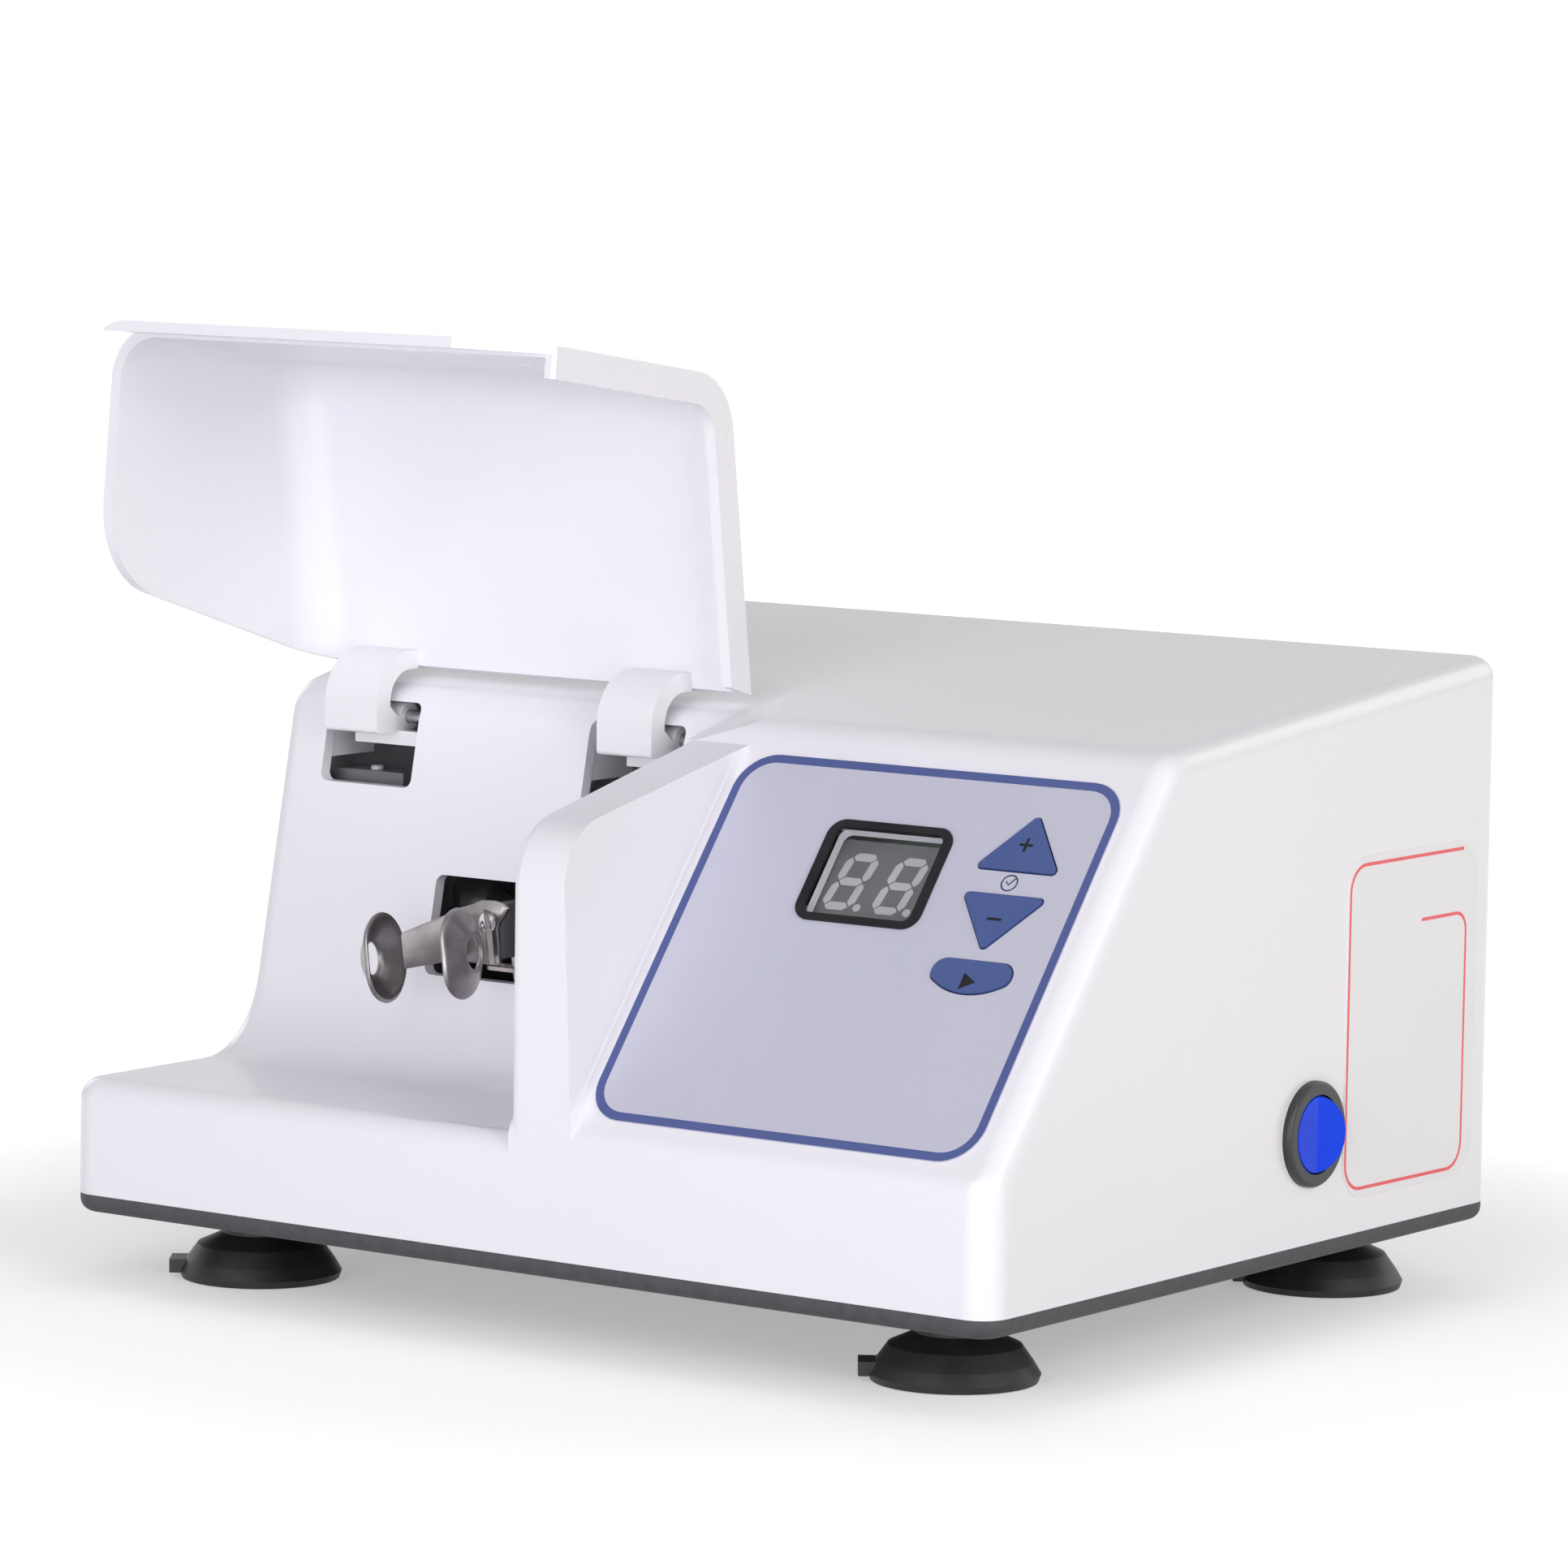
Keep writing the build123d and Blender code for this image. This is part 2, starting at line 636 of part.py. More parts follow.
def foot(spot):
    """Rubber suction foot: neck, flared cup, and a small tab to lift its rim."""
    low = -BASE_T - FOOT_H
    profile = [
        (0, -BASE_T), (FOOT_NECK_R, -BASE_T), (FOOT_NECK_R, -9.5), (14, -12), (16.5, -15.5),
        (FOOT_R, -18), (FOOT_R - 0.5, low), (FOOT_R - 2.5, low), (11, -14.5), (0, -12),
    ]
    upright = Plane.XZ * outline(profile)
    cup = revolve(upright, Axis.Z)
    tab = Rot(0, 0, FOOT_TAB_TURN) * block(
        (FOOT_R - 2, FOOT_R + FOOT_TAB), around(0, 4 * FOOT_TAB), (low + 1, low + 4)
    )
    cup += tab
    cup -= rod((0, 0, -BASE_T - STUD_DEPTH), (0, 0, 1), STUD_R, STUD_DEPTH + 1)
    return Pos(*spot, 0) * cup


def foot_studs():
    studs = []
    for x, y in foot_spots().values():
        stud = rod((x, y, -BASE_T - STUD_DEPTH), (0, 0, 1), STUD_R, BASE_T + STUD_DEPTH + NUT_H + 1)
        nut = extrude(Pos(x, y) * RegularPolygon(NUT_R, 6), amount=NUT_H)
        studs.append(stud + nut)
    return Compound(studs)


# ================================================================ console panel
def key_cap(name):
    shape, stem_s = KEY_SPOTS[name]
    bottom = KEY_POCKET - KEY_TRAVEL - FIT_GAP
    cap = on_panel(shape(), -bottom, OVERLAY_T - OVERLAY_RECESS + KEY_PROUD)
    stem_end = BOARD_DEPTH - TACT_H - KEY_TRAVEL - 0.1
    return cap + on_panel(Pos(KEY_X, stem_s) * Circle(KEY_STEM_R), -stem_end, -bottom)


def membrane_panel():
    sheet = panel_box(OVERLAY_X, OVERLAY_S, -OVERLAY_RECESS, OVERLAY_T - OVERLAY_RECESS, OVERLAY_R)
    sheet -= panel_box(*display_spans(DISPLAY_FRAME), -DIG / 4, DIG, DISPLAY_FRAME_R)
    for shape, stem_s in KEY_SPOTS.values():
        sheet -= on_panel(offset(shape(), amount=KEY_GAP), -DIG / 4, DIG)
    return sheet


def display_frame():
    top = OVERLAY_T - OVERLAY_RECESS + DISPLAY_FRAME_PROUD
    rim = panel_box(*display_spans(DISPLAY_FRAME), -OVERLAY_RECESS, top, DISPLAY_FRAME_R)
    return rim - panel_box(*display_spans(DISPLAY_SIGHT), -DIG / 4, DIG, DISPLAY_FRAME_R / 2)


def display_window():
    low = -OVERLAY_RECESS
    return panel_box(*display_spans(DISPLAY_SIGHT), low, low + DISPLAY_PANE_T, DISPLAY_FRAME_R / 2)


def display_module():
    middle = (DISPLAY_CENTRE[0] + MODULE_OFFSET[0], DISPLAY_CENTRE[1] + MODULE_OFFSET[1])
    spans = (around(middle[0], MODULE_SIZE[0]), around(middle[1], MODULE_SIZE[1]))
    return panel_box(*spans, -BOARD_DEPTH, -MODULE_DEPTH, 0.5)


def segment(start, end):
    """Pointed bar between two ends of a digit's segment."""
    along = Vector(end[0] - start[0], end[1] - start[1]).normalized()
    side = Vector(-along.Y, along.X) * (SEGMENT_W / 2)
    first = Vector(*start) + along * 0.25
    last = Vector(*end) - along * 0.25
    inset = along * (SEGMENT_W / 2)
    ring = [
        first, first + inset + side, last - inset + side,
        last, last - inset - side, first + inset - side,
    ]
    slant = tan(radians(DIGIT_SLANT))
    return outline([(point.X + point.Y * slant, point.Y) for point in ring])


def display_digits():
    half_w = (DIGIT_W - SEGMENT_W) / 2
    half_h = (DIGIT_H - SEGMENT_W) / 2
    corners = {
        "tl": (-half_w, half_h), "tr": (half_w, half_h), "ml": (-half_w, 0),
        "mr": (half_w, 0), "bl": (-half_w, -half_h), "br": (half_w, -half_h),
    }
    strokes = [("tl", "tr"), ("ml", "mr"), ("bl", "br"), ("ml", "tl"), ("mr", "tr"), ("bl", "ml"), ("br", "mr")]
    middle = (DISPLAY_CENTRE[0] + MODULE_OFFSET[0], DISPLAY_CENTRE[1] + MODULE_OFFSET[1])
    bars = []
    for place in (-DIGIT_PITCH / 2, DIGIT_PITCH / 2):
        shift = Pos(middle[0] + place - 0.6, middle[1])
        for start, end in strokes:
            bars.append(on_panel(shift * segment(corners[start], corners[end]), -MODULE_DEPTH, SEGMENT_T - MODULE_DEPTH))
        point = shift * Pos(half_w + 1.1, -half_h) * Circle(SEGMENT_W / 2)
        bars.append(on_panel(point, -MODULE_DEPTH, SEGMENT_T - MODULE_DEPTH))
    return Compound(bars)


def tact_switches():
    bodies = []
    for shape, stem_s in KEY_SPOTS.values():
        spans = (around(KEY_X, TACT_W), around(stem_s, TACT_W))
        body = panel_box(*spans, -BOARD_DEPTH, TACT_BODY_H - BOARD_DEPTH, 0.5)
        button = Pos(KEY_X, stem_s) * Circle(TACT_BUTTON_R)
        bodies.append(body + on_panel(button, -BOARD_DEPTH, TACT_H - BOARD_DEPTH))
    return Compound(bodies)


def standoff_spots():
    low, high = BOARD_S[0] + STANDOFF_INSET, BOARD_S[1] - STANDOFF_INSET
    left, right = BOARD_X[0] + STANDOFF_INSET, BOARD_X[1] - STANDOFF_INSET
    return [(left, low), (right, low), (left, high), (right, high)]


def control_board():
    board = panel_box(BOARD_X, BOARD_S, -BOARD_DEPTH - BOARD_T, -BOARD_DEPTH, 2)
    for spot in standoff_spots():
        board -= on_panel(Pos(*spot) * Circle(BOARD_SCREW_R), -DIG, DIG)
    return board


def board_standoffs():
    posts = []
    for spot in standoff_spots():
        ring = Pos(*spot) * Circle(STANDOFF_R) - Pos(*spot) * Circle(BOARD_SCREW_R)
        posts.append(on_panel(ring, -BOARD_DEPTH, -WALL))
    return Compound(posts)


def board_screws():
    screws = []
    back = -BOARD_DEPTH - BOARD_T
    for spot in standoff_spots():
        shank = on_panel(Pos(*spot) * Circle(BOARD_SCREW_R), back, -WALL - 1)
        screws.append(shank + on_panel(Pos(*spot) * Circle(2 * BOARD_SCREW_R), back - BOARD_T, back))
    return Compound(screws)


# ================================================================ mains switch, label
def rocker_sphere_r():
    return hypot(ROCKER_PIVOT_DEPTH, ROCKER_R)


def rocker_pivot():
    return (RIGHT + BEZEL_T - ROCKER_PIVOT_DEPTH, SWITCH_Y, SWITCH_Z)


def switch_body():
    centre = (SWITCH_Y, SWITCH_Z)
    body = rod((RIGHT - SWITCH_BODY_L, *centre), (1, 0, 0), SWITCH_BODY_R, SWITCH_BODY_L)
    bezel = rod((RIGHT, *centre), (1, 0, 0), BEZEL_R, BEZEL_T)
    bezel = fillet(bezel.edges().sort_by(Axis.X)[-1], BEZEL_T / 2)
    inner_x = RIGHT - WALL
    clips = block((inner_x - 3, inner_x), around(SWITCH_Y, 2 * SWITCH_BODY_R + 2), around(SWITCH_Z, 4))
    body += bezel + clips
    body -= Pos(*rocker_pivot()) * Sphere(rocker_sphere_r() + ROCKER_GAP)
    x, y, z = rocker_pivot()
    body -= rod((x, y, z - SWITCH_BODY_R - 1), (0, 0, 1), PIN_R + PIN_FIT, 2 * SWITCH_BODY_R + 2)
    return body


def switch_terminals():
    back = RIGHT - SWITCH_BODY_L
    blades = []
    for step in (-1, 1):
        spans = (around(SWITCH_Y + step * TERMINAL_PITCH / 2, TERMINAL_T), around(SWITCH_Z, TERMINAL_W))
        blades.append(block((back - TERMINAL_L, back), *spans))
    return Compound(blades)


def switch_rocker():
    """Dished rocker on a real cross pin; its front half stands pressed at rest."""
    radius = rocker_sphere_r()
    apex = ROCKER_PIVOT_DEPTH / cos(radians(ROCKER_TILT))
    rise = tan(radians(ROCKER_TILT)) * radius
    face = outline([(-4, -radius), (apex + rise, -radius), (apex, 0), (apex + rise, radius), (-4, radius)])
    ball = Sphere(radius) & extrude(face, amount=radius, both=True)
    pin = rod((0, 0, -SWITCH_BODY_R + FIT_GAP), (0, 0, 1), PIN_R, 2 * (SWITCH_BODY_R - FIT_GAP))
    return Pos(*rocker_pivot()) * Rot(0, 0, -ROCKER_TILT) * (ball + pin)


def side_label():
    size = (LABEL_Y[1] - LABEL_Y[0], LABEL_Z[1] - LABEL_Z[0])
    middle = (RIGHT, (LABEL_Y[1] + LABEL_Y[0]) / 2, (LABEL_Z[1] + LABEL_Z[0]) / 2)
    side = Plane(origin=middle, x_dir=(0, 1, 0), z_dir=(1, 0, 0))
    return extrude(side * RectangleRounded(*size, LABEL_R), amount=LABEL_T)


# ================================================================ cover
LID_LEAN_GRADE = tan(radians(LID_FRONT_LEAN))
LID_SIDE_Z = LEDGE_Z + LID_LEDGE_GAP


def lid_front_y(z):
    """Front face of the closed cover."""
    return LID_FRONT_Y - (RIDGE_FRONT_Z - z) * LID_LEAN_GRADE


def lid_path(inset, foot_z):
    """Front, nose and top of the closed cover as an outline open to the rear and below."""
    nose_z = ridge_z(LID_FRONT_Y)
    drop = inset / cos(radians(RIDGE_SLOPE))
    front = inset / cos(radians(LID_FRONT_LEAN))
    nose = (lid_front_y(nose_z - inset) + front, nose_z - drop + front * RIDGE_GRADE)
    points = [(lid_front_y(foot_z) + front, foot_z), nose, (0, ridge_z(0) - drop), (0, foot_z)]
    return outline(points, [(nose, RIDGE_NOSE_R - inset)])


def lid_foot_cutter():
    """Everything below and behind the cover, clear of the ledge and of the bay's leaning wall."""
    def back_y(z):
        return wall_y(z) - LID_WALL_GAP / cos(radians(BAY_LEAN))
    corner = (back_y(LID_SIDE_Z), LID_SIDE_Z)
    lip_y = FRONT - LID_LIP_GAP
    points = [(lip_y, -DIG), (lip_y, LID_SIDE_Z), corner, (back_y(2 * TOP_REAR_Z), 2 * TOP_REAR_Z),
              (REAR, 2 * TOP_REAR_Z), (REAR, -DIG)]
    return slab(outline(points, [(corner, BAY_FLOOR_R)]), LEFT - 1, RIGHT)


def lid_edge_chain(solid, side_x, inset):
    """Edges along the front, nose and top on the cover's left."""
    chain = []
    for edge in solid.edges():
        spot = edge.center()
        on_top = spot.Z > ridge_z(spot.Y) - inset - CORNER_R
        on_front = spot.Y < lid_front_y(spot.Z) + inset + 1
        at_left = abs(spot.X - side_x) < 0.01 and edge.bounding_box().size.X < 0.01
        if at_left and (on_top or on_front):
            chain.append(edge)
    return chain


def lid_shell_closed():
    right = CHEEK_X - LID_GAP
    lid = slab(lid_path(0, LID_LIP_Z), LEFT, right)
    lid = fillet(lid_edge_chain(lid, LEFT, 0), LID_EDGE_R)
    inner_x = LEFT + LID_WALL
    hollow = slab(lid_path(LID_WALL, -DIG), inner_x, right - LID_WALL)
    lid -= fillet(lid_edge_chain(hollow, inner_x, LID_WALL), LID_EDGE_R - LID_WALL)
    lid -= slab(lid_path(LID_FLANGE, -DIG), right - LID_WALL - 1, right + 1)
    lid -= lid_foot_cutter()
    ramp_foot = right - LID_LIP_RAMP
    front = Plane(origin=(0, 0, 0), x_dir=(1, 0, 0), z_dir=(0, -1, 0))
    ramp = front * outline([(ramp_foot, LID_LIP_Z - 1), (ramp_foot, LID_LIP_Z), (right + 1, LID_SIDE_Z + 1),
                            (right + 1, LID_LIP_Z - 1)])
    return lid - extrude(ramp, amount=HOUSING_D)


def opened(solid):
    """From the closed place of the cover to the open one it rests in."""
    axis = Axis((0, HINGE_Y, HINGE_Z), (1, 0, 0))
    return solid.rotate(axis, -LID_OPEN)


def lid_shell():
    return opened(lid_shell_closed())


def hinge_arm(arm_x):
    """Gooseneck that reaches from the cover through its window to the hinge pin."""
    top = HINGE_Z + ARM_TOP
    front = HINGE_Y - ARM_REACH
    under = HINGE_Z - EYE_R
    outer_corner = (front, top)
    heel = (front, under)
    inner_corner = (front + ARM_T + 0.4, top - ARM_T + 0.2)
    crook = (front + ARM_T + 0.4, HINGE_Z + 2.7)
    points = [(HINGE_Y + 2 * ARM_REACH, top), outer_corner, heel, (HINGE_Y, under),
              (HINGE_Y, HINGE_Z + 0.4), (HINGE_Y - 4.3, HINGE_Z + 0.4), crook, inner_corner,
              (HINGE_Y + 2 * ARM_REACH, top - ARM_T + 0.2)]
    side = outline(points, [(outer_corner, ARM_REACH - 0.2), (inner_corner, 7), (heel, 1)])
    arm = slab(side, arm_x, arm_x + ARM_W)
    arm += rod((arm_x, HINGE_Y, HINGE_Z), (1, 0, 0), EYE_R, ARM_W)
    bar_x = arm_x + STOP_BAR_START
    bar_y = inner_wall_y(under) + FIT_GAP
    arm += block((bar_x, bar_x + STOP_BAR_L), (bar_y, bar_y + STOP_BAR_T), (under - STOP_BAR_H, under + 0.2))
    arm -= rod((arm_x - 1, HINGE_Y, HINGE_Z), (1, 0, 0), PIN_R + PIN_FIT, ARM_W + 2)
    beyond = outline([(-2 * HOUSING_D, ridge_z(-2 * HOUSING_D) - LID_WALL / cos(radians(RIDGE_SLOPE))),
                      (0, ridge_z(0) - LID_WALL / cos(radians(RIDGE_SLOPE))), (0, 3 * HOUSING_D),
                      (-2 * HOUSING_D, 3 * HOUSING_D)])
    return arm - opened(slab(beyond, LEFT, RIGHT))


def hinge_pin(rib_spans):
    start = rib_spans[0][0]
    return rod((start, HINGE_Y, HINGE_Z), (1, 0, 0), PIN_R, rib_spans[1][1] - start)


def lid_switch_body():
    x_span = around(INTERLOCK_X, INTERLOCK_SIZE[0])
    y_span = around(INTERLOCK_Y, INTERLOCK_SIZE[1])
    body = block(x_span, y_span, (INTERLOCK_TOP - INTERLOCK_SIZE[2], INTERLOCK_TOP))
    floor_z = INTERLOCK_TOP - PLUNGER_L - PLUNGER_TRAVEL - FIT_GAP
    body -= rod((INTERLOCK_X, INTERLOCK_Y, floor_z), (0, 0, 1), PLUNGER_R + PIN_FIT, DIG)
    for side in (-1, 1):
        spot = (INTERLOCK_X + side * INTERLOCK_SIZE[0] * 0.38, y_span[0] - 1, INTERLOCK_TOP - 7)
        body -= rod(spot, (0, 1, 0), 1.2, INTERLOCK_SIZE[1] + 2)
    return body


def lid_switch_plunger():
    low = INTERLOCK_TOP - PLUNGER_L
    plunger = rod((INTERLOCK_X, INTERLOCK_Y, low), (0, 0, 1), PLUNGER_R, PLUNGER_L + PLUNGER_PROUD)
    return fillet(plunger.edges().sort_by(Axis.Z)[-1], 0.5)


# ================================================================ nutating drive
HUB_CENTRE = (DRIVE_X, DRIVE_Y, DRIVE_Z)


def skewed(solid):
    """From the drive's own frame to its resting place, tilted with the journal."""
    return Pos(*HUB_CENTRE) * Rot(0, -SKEW, 0) * solid


def along_x(radius, x_from, x_to):
    """Cylinder on the local X axis."""
    return rod((x_from, 0, 0), (1, 0, 0), radius, x_to - x_from)


def shaft_span():
    left = DRIVE_X - OUTBOARD_GAP - OUTBOARD_BEARING_W
    return (left, DRIVE_X + MOTOR_BRACKET_GAP + BRACKET_T + SHAFT_ENGAGE)


def drive_shaft():
    left, right = shaft_span()
    return Pos(0, DRIVE_Y, DRIVE_Z) * along_x(SHAFT_R, left, right)


def skew_hub():
    journal = along_x(JOURNAL_R, -HUB_L / 2, HUB_L / 2)
    collar_from = BEARING_W / 2 + 0.5
    journal += along_x(HUB_COLLAR_R, collar_from, collar_from + HUB_COLLAR_L)
    hub = skewed(journal)
    left, right = shaft_span()
    return hub - Pos(0, DRIVE_Y, DRIVE_Z) * along_x(SHAFT_R, left, right)


def hub_retainer():
    start = -BEARING_W / 2 - 0.5
    return skewed(along_x(HUB_COLLAR_R, start - 1, start) - along_x(JOURNAL_R, start - 2, start + 1))


def bearing_radii():
    inner = JOURNAL_R + BEARING_FIT
    return inner, inner + 2 * BEARING_RING_T


def arm_bearing():
    inner, outer = bearing_radii()
    return skewed(along_x(outer, -BEARING_W / 2, BEARING_W / 2) - along_x(inner, -BEARING_W, BEARING_W))


def rivet_shape():
    z = (FORK_BASE_H - ARM_LUG_H) / 2 + RIVET_RISE
    back = -FORK_BASE_Y
    head = rod((0, back - FORK_SHEET, z), (0, -1, 0), RIVET_R, RIVET_HEAD_H)
    head = fillet(head.edges().sort_by(Axis.Y)[0], RIVET_HEAD_H * 0.9)
    return head + rod((0, back - FORK_SHEET, z), (0, 1, 0), PEG_R, FORK_SHEET + 5)


def swing_arm():
    outer = bearing_radii()[1]
    ring = along_x(ARM_HUB_R, -ARM_HUB_W / 2, ARM_HUB_W / 2)
    lug = block(around(0, ARM_LUG_T), (-FORK_BASE_Y, -outer - 1), around(0, ARM_LUG_H))
    arm = fillet(ring.edges(), 1) + lug
    peg_y = SPRING_Y - DRIVE_Y
    arm += rod((0, peg_y, -ARM_LUG_H / 2 - PEG_L), (0, 0, 1), PEG_R, PEG_L + 1)
    arm -= along_x(outer, -ARM_HUB_W, ARM_HUB_W)
    return skewed(arm - rivet_shape())


def cup(side):
    """Dished cup that holds one end of a capsule; its rim faces the other cup."""
    rim = CUP_GAP / 2
    back = rim + CUP_DEPTH
    seat = back - FORK_SHEET
    outer = outline([(rim, 0), (rim, CUP_R), (rim + 0.6, CUP_R), (back, CUP_R - 3.4), (back, 0)])
    hollow = outline([(rim - 1, 0), (rim - 1, CUP_R - FORK_SHEET), (rim, CUP_R - FORK_SHEET),
                      (seat, CUP_R - FORK_SHEET - 2.9), (seat, 0)])
    hole = along_x(CUP_HOLE_R, 0, 2 * rim)
    solids = [revolve(shape, Axis.X) for shape in (outer, hollow)]
    place = Pos(0, -CUP_Y, -CUP_DROP)
    if side < 0:
        place = place * Rot(0, 0, 180)
    return place * solids[0], place * (solids[1] + hole)


def fork_clip():
    back = -FORK_BASE_Y
    half = FORK_BASE_W / 2
    tip_y = -CUP_Y + CUP_R - 2.5
    tip_x = CUP_GAP / 2
    shift = FORK_SHEET / 2
    base = [(-half, back), (half, back), (half, back - FORK_SHEET), (-half, back - FORK_SHEET)]
    plan = outline(base)
    for side in (-1, 1):
        plan += outline([(side * half, back), (side * (tip_x + FORK_SHEET), tip_y),
                         (side * tip_x, tip_y - shift), (side * (half - shift), back - FORK_SHEET)])
    sheet = extrude(plan, amount=ARM_LUG_H, both=True)
    base_low = (FORK_BASE_H - ARM_LUG_H) / 2 + 0.75 - FORK_BASE_H / 2
    tip_mid = -CUP_DROP + 1.8
    side_view = outline([(back, base_low), (back, base_low + FORK_BASE_H), (tip_y - 1, tip_mid + FORK_TIP_H / 2),
                         (tip_y - 1, tip_mid - FORK_TIP_H / 2)])
    fork = sheet & slab(side_view, -DIG, DIG)
    shells = [cup(side) for side in (-1, 1)]
    for shell, hollow in shells:
        fork += shell
    for shell, hollow in shells:
        fork -= hollow
    return skewed(fork - rivet_shape())


def fork_rivet():
    return skewed(rivet_shape())


def arm_spring():
    """Coil with a long loop: the arm's peg moves inside it and so the arm cannot turn round."""
    axis_z = DRIVE_Z - SPRING_DROP
    mean = SPRING_R - SPRING_WIRE_R
    start, end = SPRING_COIL_X
    bends = SPRING_TURNS * SPRING_BENDS
    corners = []
    for step in range(bends + 1):
        turn = radians(step * 360 / SPRING_BENDS)
        place = start + (end - start) * step / bends
        corners.append(Vector(place, SPRING_Y + mean * cos(turn), axis_z + mean * sin(turn)))
    coil_path = Polyline(*corners)
    wire = Plane(origin=corners[0], z_dir=corners[1] - corners[0]) * RegularPolygon(SPRING_WIRE_R, 6)
    coil = sweep(wire, path=coil_path, transition=Transition.RIGHT)
    half_l = LOOP_L / 2 + SPRING_WIRE_R
    half_w = LOOP_W / 2 + SPRING_WIRE_R
    level = Pos(DRIVE_X, SPRING_Y, axis_z)
    stadium = SlotOverall(2 * (half_l + SPRING_WIRE_R), 2 * (half_w + SPRING_WIRE_R))
    stadium -= SlotOverall(2 * (half_l - SPRING_WIRE_R), 2 * (half_w - SPRING_WIRE_R))
    loop = level * extrude(stadium, amount=SPRING_WIRE_R, both=True)
    eye_r = PEG_R + 0.05 + 2 * SPRING_WIRE_R
    eye = Circle(eye_r) - Circle(PEG_R + 0.05)
    loop += Pos(ANCHOR_X, SPRING_Y, axis_z) * extrude(eye, amount=SPRING_WIRE_R, both=True)
    stub_r = SPRING_WIRE_R - BEARING_FIT
    left_stub = start - (DRIVE_X + half_l)
    loop += rod((DRIVE_X + half_l, SPRING_Y, axis_z), (1, 0, 0), stub_r, left_stub)
    loop += rod((end, SPRING_Y, axis_z), (1, 0, 0), stub_r, ANCHOR_X - eye_r - end + SPRING_WIRE_R)
    spring = coil
    for place, point in ((start, corners[0]), (end, corners[-1])):
        hub = Vector(place, SPRING_Y, axis_z)
        elbow_r = SPRING_WIRE_R + BEARING_FIT
        bend = rod(hub, point - hub, stub_r, (point - hub).length)
        bend += Pos(hub) * Sphere(elbow_r)
        spring += bend + Pos(point) * Sphere(elbow_r)
    return spring + loop


def spring_anchor():
    axis_z = DRIVE_Z - SPRING_DROP
    seat = axis_z - SPRING_WIRE_R
    post = rod((ANCHOR_X, SPRING_Y, 0), (0, 0, 1), ANCHOR_R, seat)
    post += rod((ANCHOR_X, SPRING_Y, seat), (0, 0, 1), PEG_R, 3 * SPRING_WIRE_R)
    cap_z = axis_z + 2 * SPRING_WIRE_R
    return post + rod((ANCHOR_X, SPRING_Y, cap_z), (0, 0, 1), ANCHOR_R, 2 * SPRING_WIRE_R)


def motor_face_x():
    return DRIVE_X + MOTOR_BRACKET_GAP + BRACKET_T


def motor_screw_spots():
    spread = MOTOR_SCREW_R * cos(radians(45))
    return [(DRIVE_Y + a * spread, DRIVE_Z + b * spread) for a in (-1, 1) for b in (-1, 1)]


def motor_body():
    face = motor_face_x()
    can = Pos(0, DRIVE_Y, DRIVE_Z) * along_x(MOTOR_R, face, face + MOTOR_L)
    can = fillet(can.edges().filter_by(GeomType.CIRCLE), 2)
    boss = along_x(MOTOR_BOSS_R, face - MOTOR_BOSS_L, face + 1)
    cap = along_x(MOTOR_BOSS_R, face + MOTOR_L - 1, face + MOTOR_L + MOTOR_BOSS_L)
    can += Pos(0, DRIVE_Y, DRIVE_Z) * (boss + cap)
    bore = along_x(SHAFT_R + BEARING_FIT, face - DIG, face + SHAFT_ENGAGE + 1)
    can -= Pos(0, DRIVE_Y, DRIVE_Z) * bore
    for y, z in motor_screw_spots():
        can -= rod((face - 1, y, z), (1, 0, 0), SCREW_R, MOTOR_SCREW_L + 2)
    return can


def bracket(plate_x, foot_to, width, rise, bore_r):
    """Bent sheet bracket: upright plate with a round top and a foot on the base."""
    plate_span = (plate_x, plate_x + BRACKET_T)
    y_span = around(DRIVE_Y, width)
    top = DRIVE_Z + rise
    side = outline([(y_span[0], 0), (y_span[0], top), (y_span[1], top), (y_span[1], 0)],
                   [((y_span[0], top), width / 3), ((y_span[1], top), width / 3)])
    plate = slab(side, *plate_span)
    foot_span = (min(plate_x, foot_to), max(plate_x + BRACKET_T, foot_to))
    sheet = plate + block(foot_span, y_span, (0, BRACKET_T))
    return sheet - Pos(0, DRIVE_Y, DRIVE_Z) * along_x(bore_r, plate_x - 1, plate_x + BRACKET_T + 1)


def motor_bracket():
    plate_x = motor_face_x() - BRACKET_T
    sheet = bracket(plate_x, plate_x + BRACKET_FOOT_L, BRACKET_W, MOTOR_R, MOTOR_BOSS_R + FIT_GAP)
    for y, z in motor_screw_spots():
        sheet -= rod((plate_x - 1, y, z), (1, 0, 0), SCREW_R, BRACKET_T + 2)
    for x, y in chassis_screw_spots():
        sheet -= rod((x, y, -1), (0, 0, 1), SCREW_R, BRACKET_T + 2)
    return sheet


def motor_screws():
    plate_x = motor_face_x() - BRACKET_T
    screws = []
    for y, z in motor_screw_spots():
        head = rod((plate_x - SCREW_HEAD_H, y, z), (1, 0, 0), SCREW_HEAD_R, SCREW_HEAD_H)
        shank = rod((plate_x, y, z), (1, 0, 0), SCREW_R, MOTOR_SCREW_L)
        screws.append(head + shank - socket((plate_x - SCREW_HEAD_H, y, z), (1, 0, 0)))
    return Compound(screws)


def outboard_bracket():
    plate_x = DRIVE_X - OUTBOARD_GAP - BRACKET_T
    sheet = bracket(plate_x, plate_x + BRACKET_T - BRACKET_FOOT_L, OUTBOARD_W, OUTBOARD_RISE, OUTBOARD_BEARING_R)
    for x, y in chassis_screw_spots():
        sheet -= rod((x, y, -1), (0, 0, 1), SCREW_R, BRACKET_T + 2)
    return sheet


